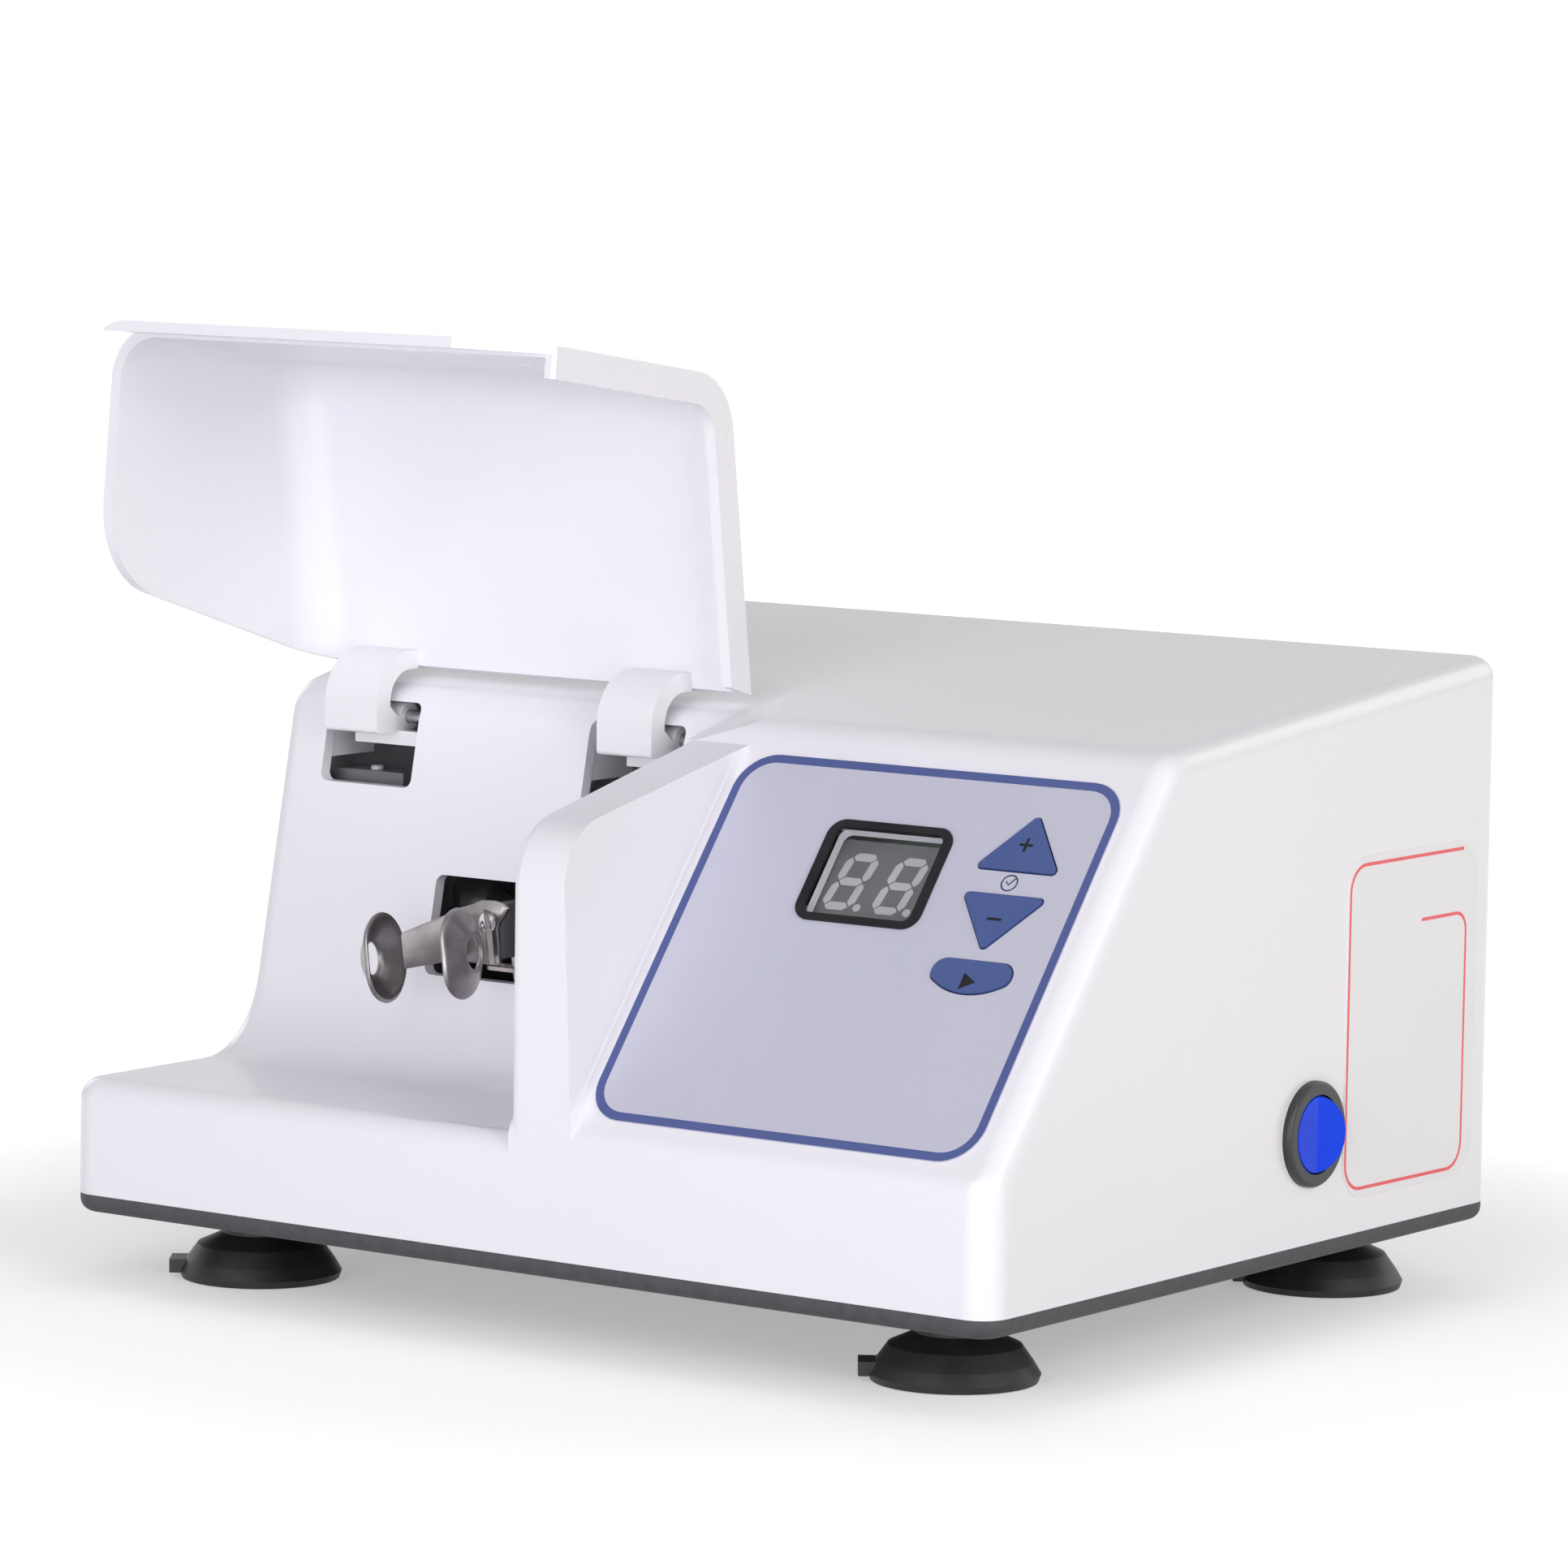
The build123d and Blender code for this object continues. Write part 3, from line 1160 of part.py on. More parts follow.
def outboard_bearing():
    middle = DRIVE_X - OUTBOARD_GAP - BRACKET_T / 2
    half = OUTBOARD_BEARING_W / 2
    ring = along_x(OUTBOARD_BEARING_R, middle - half, middle + half)
    bore = along_x(SHAFT_R + BEARING_FIT, middle - DIG, middle + DIG)
    return Pos(0, DRIVE_Y, DRIVE_Z) * (ring - bore)


def chassis_screw_spots():
    """Screws from above through bracket feet and clamp feet into the base."""
    spots = []
    motor_x = motor_face_x() + BRACKET_FOOT_L * 0.55
    far_x = DRIVE_X - OUTBOARD_GAP - BRACKET_FOOT_L * 0.6
    for side in (-1, 1):
        spots.append((motor_x, DRIVE_Y + side * BRACKET_W * 0.32))
        spots.append((far_x, DRIVE_Y + side * OUTBOARD_W * 0.28))
        spots.append((TRANSFORMER_X + side * (CORE_SIZE[0] / 2 + CLAMP_FOOT_L * 0.6), TRANSFORMER_Y))
    return spots


def chassis_screws():
    screws = []
    for x, y in chassis_screw_spots():
        under = CLAMP_T if abs(y - TRANSFORMER_Y) < 1 else BRACKET_T
        head = rod((x, y, under), (0, 0, 1), SCREW_HEAD_R, SCREW_HEAD_H)
        shank = rod((x, y, -BASE_T + 0.5), (0, 0, 1), SCREW_R, BASE_T + under)
        screws.append(head + shank - socket((x, y, under + SCREW_HEAD_H), (0, 0, -1)))
    return Compound(screws)


# ================================================================ supply
def transformer_place():
    return Pos(TRANSFORMER_X, TRANSFORMER_Y, CORE_SIZE[2] / 2)


def coil_spans():
    leg = CORE_SIZE[0] / 6
    return leg, COIL_SIZE[0] / 2, COIL_SIZE[2] / 2


def transformer_core():
    leg, coil_x, coil_z = coil_spans()
    core = Box(*CORE_SIZE)
    for side in (-1, 1):
        x_span = sorted((side * leg, side * coil_x))
        core -= block(x_span, (-DIG, DIG), (-coil_z, coil_z))
    return transformer_place() * core


def transformer_coil():
    leg, coil_x, coil_z = coil_spans()
    coil = Box(*COIL_SIZE)
    coil -= block((-leg, leg), around(0, CORE_SIZE[1]), (-coil_z - 1, coil_z + 1))
    return transformer_place() * fillet(coil.edges().filter_by(Axis.Z).group_by(Axis.Y)[0], 3)


def transformer_clamp():
    half = CORE_SIZE[0] / 2
    top = CORE_SIZE[2]
    far = half + CLAMP_T + CLAMP_FOOT_L
    wide = half + CLAMP_T
    points = [(-far, 0), (-half, 0), (-half, top), (half, top), (half, 0), (far, 0), (far, CLAMP_T),
              (wide, CLAMP_T), (wide, top + CLAMP_T), (-wide, top + CLAMP_T), (-wide, CLAMP_T), (-far, CLAMP_T)]
    front = Plane(origin=(TRANSFORMER_X, TRANSFORMER_Y, 0), x_dir=(1, 0, 0), z_dir=(0, -1, 0))
    strap = extrude(front * outline(points), amount=CLAMP_W / 2, both=True)
    for x, y in chassis_screw_spots():
        strap -= rod((x, y, -1), (0, 0, 1), SCREW_R, CLAMP_T + 2)
    return strap


def inlet_outline(size, cut):
    """Rectangle with its two upper corners cut off, as the earthed inlet has."""
    half_x, half_z = size[0] / 2, size[1] / 2
    return outline([(-half_x, -half_z), (half_x, -half_z), (half_x, half_z - cut), (half_x - cut, half_z),
                    (cut - half_x, half_z), (-half_x, half_z - cut)])


def power_inlet():
    rear = Plane(origin=(INLET_X, REAR, INLET_Z), x_dir=(-1, 0, 0), z_dir=(0, 1, 0))
    body = extrude(rear * RectangleRounded(INLET_FLANGE[0], INLET_FLANGE[1], 3), amount=INLET_FLANGE[2])
    body += extrude(rear * inlet_outline(INLET_BODY, 4), amount=-INLET_BODY[2])
    mouth = rear.offset(INLET_FLANGE[2] - INLET_CAVITY[2])
    body -= extrude(mouth * inlet_outline(INLET_CAVITY, 4), amount=DIG)
    for blade in inlet_blades():
        body -= blade
    for side in (-1, 1):
        spot = (INLET_X + side * INLET_SCREW_PITCH / 2, REAR - 1, INLET_Z)
        body -= rod(spot, (0, 1, 0), SCREW_R, DIG)
    return body


def inlet_blades():
    root_y = REAR + INLET_FLANGE[2] - INLET_CAVITY[2]
    y_span = (REAR - INLET_BODY[2] - TERMINAL_L, root_y + BLADE_L)
    blades = []
    for step, lift in ((-1, -BLADE_LIFT), (0, BLADE_LIFT), (1, -BLADE_LIFT)):
        x_span = around(INLET_X + step * BLADE_PITCH, BLADE_SIZE[0])
        blades.append(block(x_span, y_span, around(INLET_Z + lift, BLADE_SIZE[1])))
    return blades


def inlet_pins():
    return Compound(inlet_blades())


def inlet_screws():
    out = REAR + INLET_FLANGE[2]
    screws = []
    for side in (-1, 1):
        x = INLET_X + side * INLET_SCREW_PITCH / 2
        head = rod((x, out, INLET_Z), (0, 1, 0), SCREW_HEAD_R, SCREW_HEAD_H)
        shank = rod((x, REAR - WALL - 4, INLET_Z), (0, 1, 0), SCREW_R, WALL + 4 + INLET_FLANGE[2])
        back = Plane(origin=(x, REAR - WALL, INLET_Z), z_dir=(0, -1, 0))
        nut = extrude(back * RegularPolygon(SCREW_NUT_R, 6), amount=SCREW_NUT_H)
        screws.append(head + shank + nut - socket((x, out + SCREW_HEAD_H, INLET_Z), (0, -1, 0)))
    return Compound(screws)


def fuse_holder():
    body = rod((FUSE_X, REAR, FUSE_Z), (0, -1, 0), FUSE_BODY_R, FUSE_BODY_L)
    flange = rod((FUSE_X, REAR, FUSE_Z), (0, 1, 0), FUSE_FLANGE_R, FUSE_FLANGE_T)
    nut = rod((FUSE_X, REAR - WALL, FUSE_Z), (0, -1, 0), FUSE_FLANGE_R, 2 * FUSE_FLANGE_T)
    return body + flange + nut


def fuse_cap():
    out = REAR + FUSE_FLANGE_T
    cap = rod((FUSE_X, out, FUSE_Z), (0, 1, 0), FUSE_CAP_R, FUSE_CAP_L)
    cap = fillet(cap.edges().sort_by(Axis.Y)[-1], 1)
    slot_y = (out + FUSE_CAP_L - 1.2, out + FUSE_CAP_L + 1)
    return cap - block(around(FUSE_X, 1.4), slot_y, around(FUSE_Z, 2 * FUSE_CAP_R + 2))


# ================================================================ assembly
def assembly():
    spans = hinge_rib_spans()
    nodes = {
        "housing_shell": housing_shell(),
        "base_plate": base_plate(),
        "base_screws": base_screws(),
        "foot_studs": foot_studs(),
        "membrane_panel": membrane_panel(),
        "display_frame": display_frame(),
        "display_window": display_window(),
        "display_module": display_module(),
        "display_digits": display_digits(),
        "tact_switches": tact_switches(),
        "control_board": control_board(),
        "board_standoffs": board_standoffs(),
        "board_screws": board_screws(),
        "switch_body": switch_body(),
        "switch_terminals": switch_terminals(),
        "switch_rocker": switch_rocker(),
        "side_label": side_label(),
        "lid_shell": lid_shell(),
        "hinge_arm_left": hinge_arm(ARM_LEFT_X),
        "hinge_arm_right": hinge_arm(ARM_RIGHT_X),
        "hinge_pin_left": hinge_pin(spans[:2]),
        "hinge_pin_right": hinge_pin(spans[2:]),
        "lid_switch_body": lid_switch_body(),
        "lid_switch_plunger": lid_switch_plunger(),
        "drive_shaft": drive_shaft(),
        "skew_hub": skew_hub(),
        "hub_retainer": hub_retainer(),
        "arm_bearing": arm_bearing(),
        "swing_arm": swing_arm(),
        "fork_clip": fork_clip(),
        "fork_rivet": fork_rivet(),
        "arm_spring": arm_spring(),
        "spring_anchor": spring_anchor(),
        "motor_body": motor_body(),
        "motor_bracket": motor_bracket(),
        "motor_screws": motor_screws(),
        "outboard_bracket": outboard_bracket(),
        "outboard_bearing": outboard_bearing(),
        "chassis_screws": chassis_screws(),
        "transformer_core": transformer_core(),
        "transformer_coil": transformer_coil(),
        "transformer_clamp": transformer_clamp(),
        "power_inlet": power_inlet(),
        "inlet_pins": inlet_pins(),
        "inlet_screws": inlet_screws(),
        "fuse_holder": fuse_holder(),
        "fuse_cap": fuse_cap(),
    }
    for name, spot in foot_spots().items():
        nodes[name] = foot(spot)
    for name in KEY_SPOTS:
        nodes[name] = key_cap(name)
    return nodes


def main():
    nodes = assembly()
    low = Vector(0, 0, 0)
    high = Vector(0, 0, 0)
    for solid in nodes.values():
        box = solid.bounding_box()
        low = Vector(min(low.X, box.min.X), min(low.Y, box.min.Y), min(low.Z, box.min.Z))
        high = Vector(max(high.X, box.max.X), max(high.Y, box.max.Y), max(high.Z, box.max.Z))
    shift = Pos(-(low.X + high.X) / 2, -(low.Y + high.Y) / 2, -low.Z)
    print("shift", shift.position, "size", high - low)
    os.makedirs("parts", exist_ok=True)
    for name, solid in nodes.items():
        export_step(shift * solid, f"parts/{name}.step")


main()
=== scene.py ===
from math import cos, pi, radians, sin

import bmesh
import bpy
from mathutils import Matrix, Vector


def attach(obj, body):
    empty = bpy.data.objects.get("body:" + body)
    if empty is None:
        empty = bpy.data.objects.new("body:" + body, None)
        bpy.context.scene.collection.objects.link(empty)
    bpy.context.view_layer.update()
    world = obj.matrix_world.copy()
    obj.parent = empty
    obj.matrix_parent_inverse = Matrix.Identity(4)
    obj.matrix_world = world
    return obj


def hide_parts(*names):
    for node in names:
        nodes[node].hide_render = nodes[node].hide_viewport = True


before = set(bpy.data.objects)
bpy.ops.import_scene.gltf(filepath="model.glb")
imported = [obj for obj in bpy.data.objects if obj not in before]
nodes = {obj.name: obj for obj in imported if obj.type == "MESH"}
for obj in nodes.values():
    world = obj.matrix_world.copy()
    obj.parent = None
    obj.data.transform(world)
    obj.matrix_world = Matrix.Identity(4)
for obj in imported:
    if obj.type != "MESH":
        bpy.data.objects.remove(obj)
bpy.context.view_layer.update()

# ---------------------------------------------------------------- studio
# A pale sheet of paper on the floor, five soft boxes and a weak sky: two in front, one at the
# right and two behind. The long lens stands at the front right, a little above the appliance.
# Lamps: name, place, target, size, power, tint.
CAMERA_AT = Vector((0.91955, -1.28465, 0.28364))
CAMERA_RIGHT = Vector((0.810151, 0.586049, 0.014203))
CAMERA_UP = Vector((-0.077608, 0.083207, 0.993506))
LENS_MM = 165.267
FRAME_SHIFT_Y = 0.01998
PAPER_HALF = 3.0
PAPER_DROP = 0.0002
SHADOW_REACH = (0.14, 0.42)
PAPER_GLOW = (0.36, 1.0)
SKY_COLOUR = (1.0, 0.95, 0.95, 1.0)
SKY_STRENGTH = 0.18
LAMPS = [
    ("front_box", (0.15, -1.5, 0.75), (0, 0, 0.08), (1.3, 1.0), 7.0, (0.93, 0.93, 1.0)),
    ("low_front_box", (0.3, -1.7, 0.2), (0, 0, 0.08), (1.2, 0.4), 9.2, (0.96, 0.98, 1.0)),
    ("right_box", (1.6, -0.5, 0.6), (0, 0, 0.08), (1.0, 1.0), 14.0, (1.0, 0.98, 0.93)),
    ("back_box", (0.7, 1.7, 0.9), (0, 0, 0.1), (0.9, 0.9), 4.0, (1.0, 1.0, 1.0)),
    ("back_left_box", (-1.7, 0.5, 0.8), (0, 0, 0.1), (0.7, 0.7), 3.0, (1.0, 1.0, 1.0)),
]

camera_data = bpy.data.cameras.new("studio_camera")
camera_data.lens = LENS_MM
camera_data.sensor_width = 36.0
camera_data.shift_y = FRAME_SHIFT_Y
camera = bpy.data.objects.new("studio_camera", camera_data)
towards_lens = CAMERA_RIGHT.cross(CAMERA_UP)
turn = Matrix((CAMERA_RIGHT, CAMERA_UP, towards_lens)).transposed()
camera.matrix_world = Matrix.Translation(CAMERA_AT) @ turn.to_4x4()
bpy.context.scene.collection.objects.link(camera)
bpy.context.scene.camera = camera
bpy.context.scene.view_settings.view_transform = "Standard"


def new_material(name):
    """Empty material with its Principled shader: returns the material, its node tree and the shader."""
    material = bpy.data.materials.new(name)
    material.use_nodes = True
    tree = material.node_tree
    return material, tree, tree.nodes["Principled BSDF"]


def add_object(name, mesh):
    """Object around a mesh, put in the scene."""
    piece = bpy.data.objects.new(name, mesh)
    bpy.context.scene.collection.objects.link(piece)
    return piece


def seen_white(tree):
    """1 for what the lens, glossy surfaces and clear ones see, 0 for the light that falls on things."""
    path = tree.nodes.new("ShaderNodeLightPath")
    seen = path.outputs["Is Camera Ray"]
    for kind in ("Is Glossy Ray", "Is Transmission Ray"):
        either = tree.nodes.new("ShaderNodeMath")
        either.operation = "MAXIMUM"
        tree.links.new(seen, either.inputs[0])
        tree.links.new(path.outputs[kind], either.inputs[1])
        seen = either.outputs[0]
    return seen


world = bpy.data.worlds.new("pale_sky")
bpy.context.scene.world = world
world.use_nodes = True
tree = world.node_tree
sky = tree.nodes["Background"]
sky.inputs["Color"].default_value = SKY_COLOUR
sky.inputs["Strength"].default_value = SKY_STRENGTH
plain = tree.nodes.new("ShaderNodeBackground")
plain.inputs["Color"].default_value = (1.0, 1.0, 1.0, 1.0)
pick = tree.nodes.new("ShaderNodeMixShader")
tree.links.new(seen_white(tree), pick.inputs["Fac"])
tree.links.new(sky.outputs[0], pick.inputs[1])
tree.links.new(plain.outputs[0], pick.inputs[2])
tree.links.new(pick.outputs[0], tree.nodes["World Output"].inputs["Surface"])

paper_mesh = bpy.data.meshes.new("paper_floor")
paper_corners = [(-PAPER_HALF, -PAPER_HALF, 0), (PAPER_HALF, -PAPER_HALF, 0),
                 (PAPER_HALF, PAPER_HALF, 0), (-PAPER_HALF, PAPER_HALF, 0)]
paper_mesh.from_pydata(paper_corners, [], [(0, 1, 2, 3)])
paper = add_object("paper_floor", paper_mesh)
paper.location.z = -PAPER_DROP
paper_material, tree, shader = new_material("white_paper")
shader.inputs["Base Color"].default_value = (0.9, 0.9, 0.91, 1.0)
shader.inputs["Roughness"].default_value = 0.9
shader.inputs["Emission Color"].default_value = (1.0, 1.0, 1.0, 1.0)
ground = tree.nodes.new("ShaderNodeNewGeometry")
reach = tree.nodes.new("ShaderNodeVectorMath")
reach.operation = "LENGTH"
fade = tree.nodes.new("ShaderNodeMapRange")
fade.interpolation_type = "SMOOTHSTEP"
for end, reach_at, glow in zip(("Min", "Max"), SHADOW_REACH, PAPER_GLOW):
    fade.inputs["From " + end].default_value = reach_at
    fade.inputs["To " + end].default_value = glow
shown = tree.nodes.new("ShaderNodeMath")
shown.operation = "MULTIPLY"
tree.links.new(ground.outputs["Position"], reach.inputs[0])
tree.links.new(reach.outputs["Value"], fade.inputs["Value"])
tree.links.new(fade.outputs["Result"], shown.inputs[0])
tree.links.new(seen_white(tree), shown.inputs[1])
tree.links.new(shown.outputs[0], shader.inputs["Emission Strength"])
paper_mesh.materials.append(paper_material)

for name, place, target, size, power, tint in LAMPS:
    lamp = bpy.data.lights.new(name, "AREA")
    lamp.shape = "RECTANGLE"
    lamp.size, lamp.size_y = size
    lamp.energy = power
    lamp.color = tint
    holder = bpy.data.objects.new(name, lamp)
    holder.location = place
    holder.rotation_euler = (Vector(target) - Vector(place)).to_track_quat("-Z", "Y").to_euler()
    bpy.context.scene.collection.objects.link(holder)


# ---------------------------------------------------------------- white mouldings
# Housing shell, cover and goosenecks: thick glossy white plastic, each out of its own mould, with
# a fine grain and slow drifts of shade and gloss. The shell stands on the base plate, and the
# cover hangs on the two goosenecks.
def group_socket(group, name, kind, way, value=None):
    """Input or output of a node group."""
    socket = group.interface.new_socket(name=name, in_out=way, socket_type=kind)
    if value is not None:
        socket.default_value = value
    return socket


def drift_group():
    """Slow drifts of colour and gloss over a surface, and a fine grain as a height."""
    group = bpy.data.node_groups.new("surface_drift", "ShaderNodeTree")
    group_socket(group, "Colour", "NodeSocketColor", "INPUT", (0.8, 0.8, 0.8, 1))
    group_socket(group, "Drift Colour", "NodeSocketColor", "INPUT", (0.7, 0.7, 0.7, 1))
    group_socket(group, "Drift Scale", "NodeSocketFloat", "INPUT", 20.0)
    group_socket(group, "Grain Scale", "NodeSocketFloat", "INPUT", 900.0)
    group_socket(group, "Smooth", "NodeSocketFloat", "INPUT", 0.25)
    group_socket(group, "Rough", "NodeSocketFloat", "INPUT", 0.35)
    group_socket(group, "Colour", "NodeSocketColor", "OUTPUT")
    group_socket(group, "Roughness", "NodeSocketFloat", "OUTPUT")
    group_socket(group, "Height", "NodeSocketFloat", "OUTPUT")
    inner, links = group.nodes, group.links
    entry, leave = inner.new("NodeGroupInput"), inner.new("NodeGroupOutput")
    place = inner.new("ShaderNodeTexCoord")
    drift, grain = inner.new("ShaderNodeTexNoise"), inner.new("ShaderNodeTexNoise")
    drift.inputs["Detail"].default_value = 4.0
    grain.inputs["Detail"].default_value = 2.0
    shade = inner.new("ShaderNodeMapRange")
    shade.interpolation_type = "SMOOTHSTEP"
    shade.inputs["From Min"].default_value = 0.2
    shade.inputs["From Max"].default_value = 0.8
    blend = inner.new("ShaderNodeMix")
    blend.data_type = "RGBA"
    gloss = inner.new("ShaderNodeMapRange")
    for noise, scale in ((drift, "Drift Scale"), (grain, "Grain Scale")):
        links.new(place.outputs["Object"], noise.inputs["Vector"])
        links.new(entry.outputs[scale], noise.inputs["Scale"])
    links.new(drift.outputs["Fac"], shade.inputs["Value"])
    links.new(shade.outputs["Result"], blend.inputs["Factor"])
    links.new(entry.outputs["Colour"], blend.inputs["A"])
    links.new(entry.outputs["Drift Colour"], blend.inputs["B"])
    links.new(drift.outputs["Fac"], gloss.inputs["Value"])
    links.new(entry.outputs["Smooth"], gloss.inputs["To Min"])
    links.new(entry.outputs["Rough"], gloss.inputs["To Max"])
    links.new(blend.outputs["Result"], leave.inputs["Colour"])
    links.new(gloss.outputs["Result"], leave.inputs["Roughness"])
    links.new(grain.outputs["Fac"], leave.inputs["Height"])
    return group


SURFACE_DRIFT = drift_group()


def drifting(name, colour, drift_colour, drift, grain, smooth, rough, depth, metal=0.0, coat=0.0,
             specular=0.5):
    """Material whose colour, gloss and fine relief come from the drift group."""
    material, tree, shader = new_material(name)
    skin = tree.nodes.new("ShaderNodeGroup")
    skin.node_tree = SURFACE_DRIFT
    skin.inputs["Colour"].default_value = (*colour, 1)
    skin.inputs["Drift Colour"].default_value = (*drift_colour, 1)
    skin.inputs["Drift Scale"].default_value = drift
    skin.inputs["Grain Scale"].default_value = grain
    skin.inputs["Smooth"].default_value = smooth
    skin.inputs["Rough"].default_value = rough
    relief = tree.nodes.new("ShaderNodeBump")
    relief.inputs["Strength"].default_value = 1.0
    relief.inputs["Distance"].default_value = depth
    tree.links.new(skin.outputs["Colour"], shader.inputs["Base Color"])
    tree.links.new(skin.outputs["Roughness"], shader.inputs["Roughness"])
    tree.links.new(skin.outputs["Height"], relief.inputs["Height"])
    tree.links.new(relief.outputs["Normal"], shader.inputs["Normal"])
    shader.inputs["Metallic"].default_value = metal
    shader.inputs["Coat Weight"].default_value = coat
    shader.inputs["Specular IOR Level"].default_value = specular
    return material


def dress(material, *names):
    """Puts a material on CAD nodes in place of the one they came with."""
    for name in names:
        mesh = nodes[name].data
        mesh.materials.clear()
        mesh.materials.append(material)


white_gloss = drifting("white_gloss", (0.865, 0.852, 0.90), (0.85, 0.84, 0.89), 7.0, 420.0, 0.24, 0.34,
                       0.000003, coat=0.2)
dress(white_gloss, "housing_shell", "lid_shell")
arm_white = drifting("arm_white", (0.85, 0.845, 0.88), (0.82, 0.815, 0.85), 30.0, 700.0, 0.25, 0.4, 0.000006)
dress(arm_white, "hinge_arm_left", "hinge_arm_right")

# ---------------------------------------------------------------- base plate and fasteners
# Folded sheet under the housing, powder coated in a fine black texture; zinc-plated screws, nuts
# and studs hold it, the brackets and the feet.
base_coat = drifting("black_powder_coat", (0.045, 0.042, 0.048), (0.075, 0.07, 0.078), 300.0, 2600.0, 0.5, 0.75,
                     0.00006)
dress(base_coat, "base_plate")
zinc = drifting("zinc_plate", (0.56, 0.56, 0.57), (0.45, 0.46, 0.47), 160.0, 3000.0, 0.28, 0.5, 0.000008, metal=1.0)
dress(zinc, "base_screws", "foot_studs", "board_screws", "motor_screws", "chassis_screws", "inlet_screws")

# ---------------------------------------------------------------- suction feet
# Four soft black rubber cups, each moulded with a small tab to lift its rim. Each hangs on a
# threaded stud through the base plate.
rubber = drifting("black_rubber", (0.009, 0.009, 0.010), (0.02, 0.02, 0.021), 90.0, 1500.0, 0.36, 0.62, 0.00001)
dress(rubber, "foot_front_left", "foot_front_right", "foot_rear_left", "foot_rear_right")

# ---------------------------------------------------------------- hinge pins and cover switch
# Ground steel pins through the housing's ribs, on which the goosenecks turn; shaft, hub and
# bearings of the drive are ground alike. The small grey switch senses the shut cover.
ground_steel = drifting("ground_steel", (0.55, 0.55, 0.55), (0.45, 0.45, 0.46), 220.0, 2500.0, 0.2, 0.38, 0.000004,
                        metal=1.0)
dress(ground_steel, "hinge_pin_left", "hinge_pin_right", "drive_shaft", "skew_hub", "arm_bearing",
      "outboard_bearing", "spring_anchor")
switch_grey = drifting("switch_grey", (0.20, 0.20, 0.21), (0.16, 0.16, 0.17), 120.0, 1800.0, 0.4, 0.6, 0.00001)
dress(switch_grey, "lid_switch_body")
plunger_grey = drifting("plunger_grey", (0.55, 0.55, 0.54), (0.5, 0.5, 0.5), 120.0, 1800.0, 0.35, 0.5, 0.000005)
dress(plunger_grey, "lid_switch_plunger")

# ---------------------------------------------------------------- console film
# Printed polyester film, pale blue-grey with a dark blue line round its edge. It is glued into a
# shallow recess of the sloping console.
film = drifting("printed_film", (0.53, 0.53, 0.66), (0.555, 0.55, 0.65), 18.0, 1400.0, 0.33, 0.45, 0.000008)
dress(film, "membrane_panel")

MM = 0.001
PANEL_ORIGIN = Vector((-2.31182, -103.5, 46.5))
PANEL_UP = Vector((0, 0.6195, 0.78502))
PANEL_OUT = Vector((0, -0.78502, 0.6195))
FILM_MIDDLE = (66.75, 50.85)
FILM_HALF = (49.1, 46.0)
FILM_CORNER = 9.0
FILM_EDGE = 2
FILM_TOP = 0.4
INK = 0.03


def on_panel(across, up, out):
    """Place on the console slope, from millimetres across it, up it and out of it."""
    return (PANEL_ORIGIN + Vector((across, 0, 0)) + PANEL_UP * up + PANEL_OUT * out) * MM


def rounded(middle, half, radius, steps=8):
    """Corner points of a rounded rectangle."""
    points = []
    for turn in range(4):
        side = ((1, 1), (-1, 1), (-1, -1), (1, -1))[turn]
        centre = [middle[i] + side[i] * (half[i] - radius) for i in (0, 1)]
        for step in range(steps + 1):
            angle = pi / 2 * (turn + step / steps)
            points.append((centre[0] + radius * cos(angle), centre[1] + radius * sin(angle)))
    return points


def circle(middle, radius, steps=40):
    """Corner points of a circle."""
    return [(middle[0] + radius * cos(2 * pi * i / steps), middle[1] + radius * sin(2 * pi * i / steps))
            for i in range(steps)]


def ribbon(path, width):
    """Outline of an open line of even width."""
    left, right = [], []
    for i, point in enumerate(path):
        ahead = path[min(i + 1, len(path) - 1)]
        behind = path[max(i - 1, 0)]
        run = (Vector(ahead) - Vector(behind)).normalized() * width / 2
        left.append((point[0] - run.y, point[1] + run.x))
        right.append((point[0] + run.y, point[1] - run.x))
    return left + right[::-1]


def walls(shell, near, far):
    """Faces between two rings with as many vertices."""
    count = len(near)
    for i in range(count):
        j = (i + 1) % count
        shell.faces.new((near[i], near[j], far[j], far[i]))


def printed(name, body, material, shapes, place, low, high):
    """Thin solid of ink: each shape is an outline, or an outline and a hole with as many points."""
    mesh = bpy.data.meshes.new(name)
    shell = bmesh.new()
    for outer, hole in shapes:
        loops = [outer] if hole is None else [outer, hole]
        rings = [[[shell.verts.new(place(u, v, n)) for u, v in loop] for n in (low, high)] for loop in loops]
        for ring in rings:
            walls(shell, ring[0], ring[1])
        for level in (0, 1):
            if hole is None:
                shell.faces.new(rings[0][level])
            else:
                walls(shell, rings[0][level], rings[1][level])
    bmesh.ops.recalc_face_normals(shell, faces=shell.faces)
    shell.to_mesh(mesh)
    shell.free()
    mesh.materials.append(material)
    piece = add_object(name, mesh)
    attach(piece, body)


edge_blue = drifting("edge_blue", (0.058, 0.085, 0.27), (0.066, 0.095, 0.285), 40.0, 1400.0, 0.33, 0.45, 0.000005)
inner_half = [half - FILM_EDGE for half in FILM_HALF]
border = (rounded(FILM_MIDDLE, FILM_HALF, FILM_CORNER), rounded(FILM_MIDDLE, inner_half, FILM_CORNER - FILM_EDGE))
printed("film_border", "chassis", edge_blue, [border], on_panel, FILM_TOP, FILM_TOP + INK)

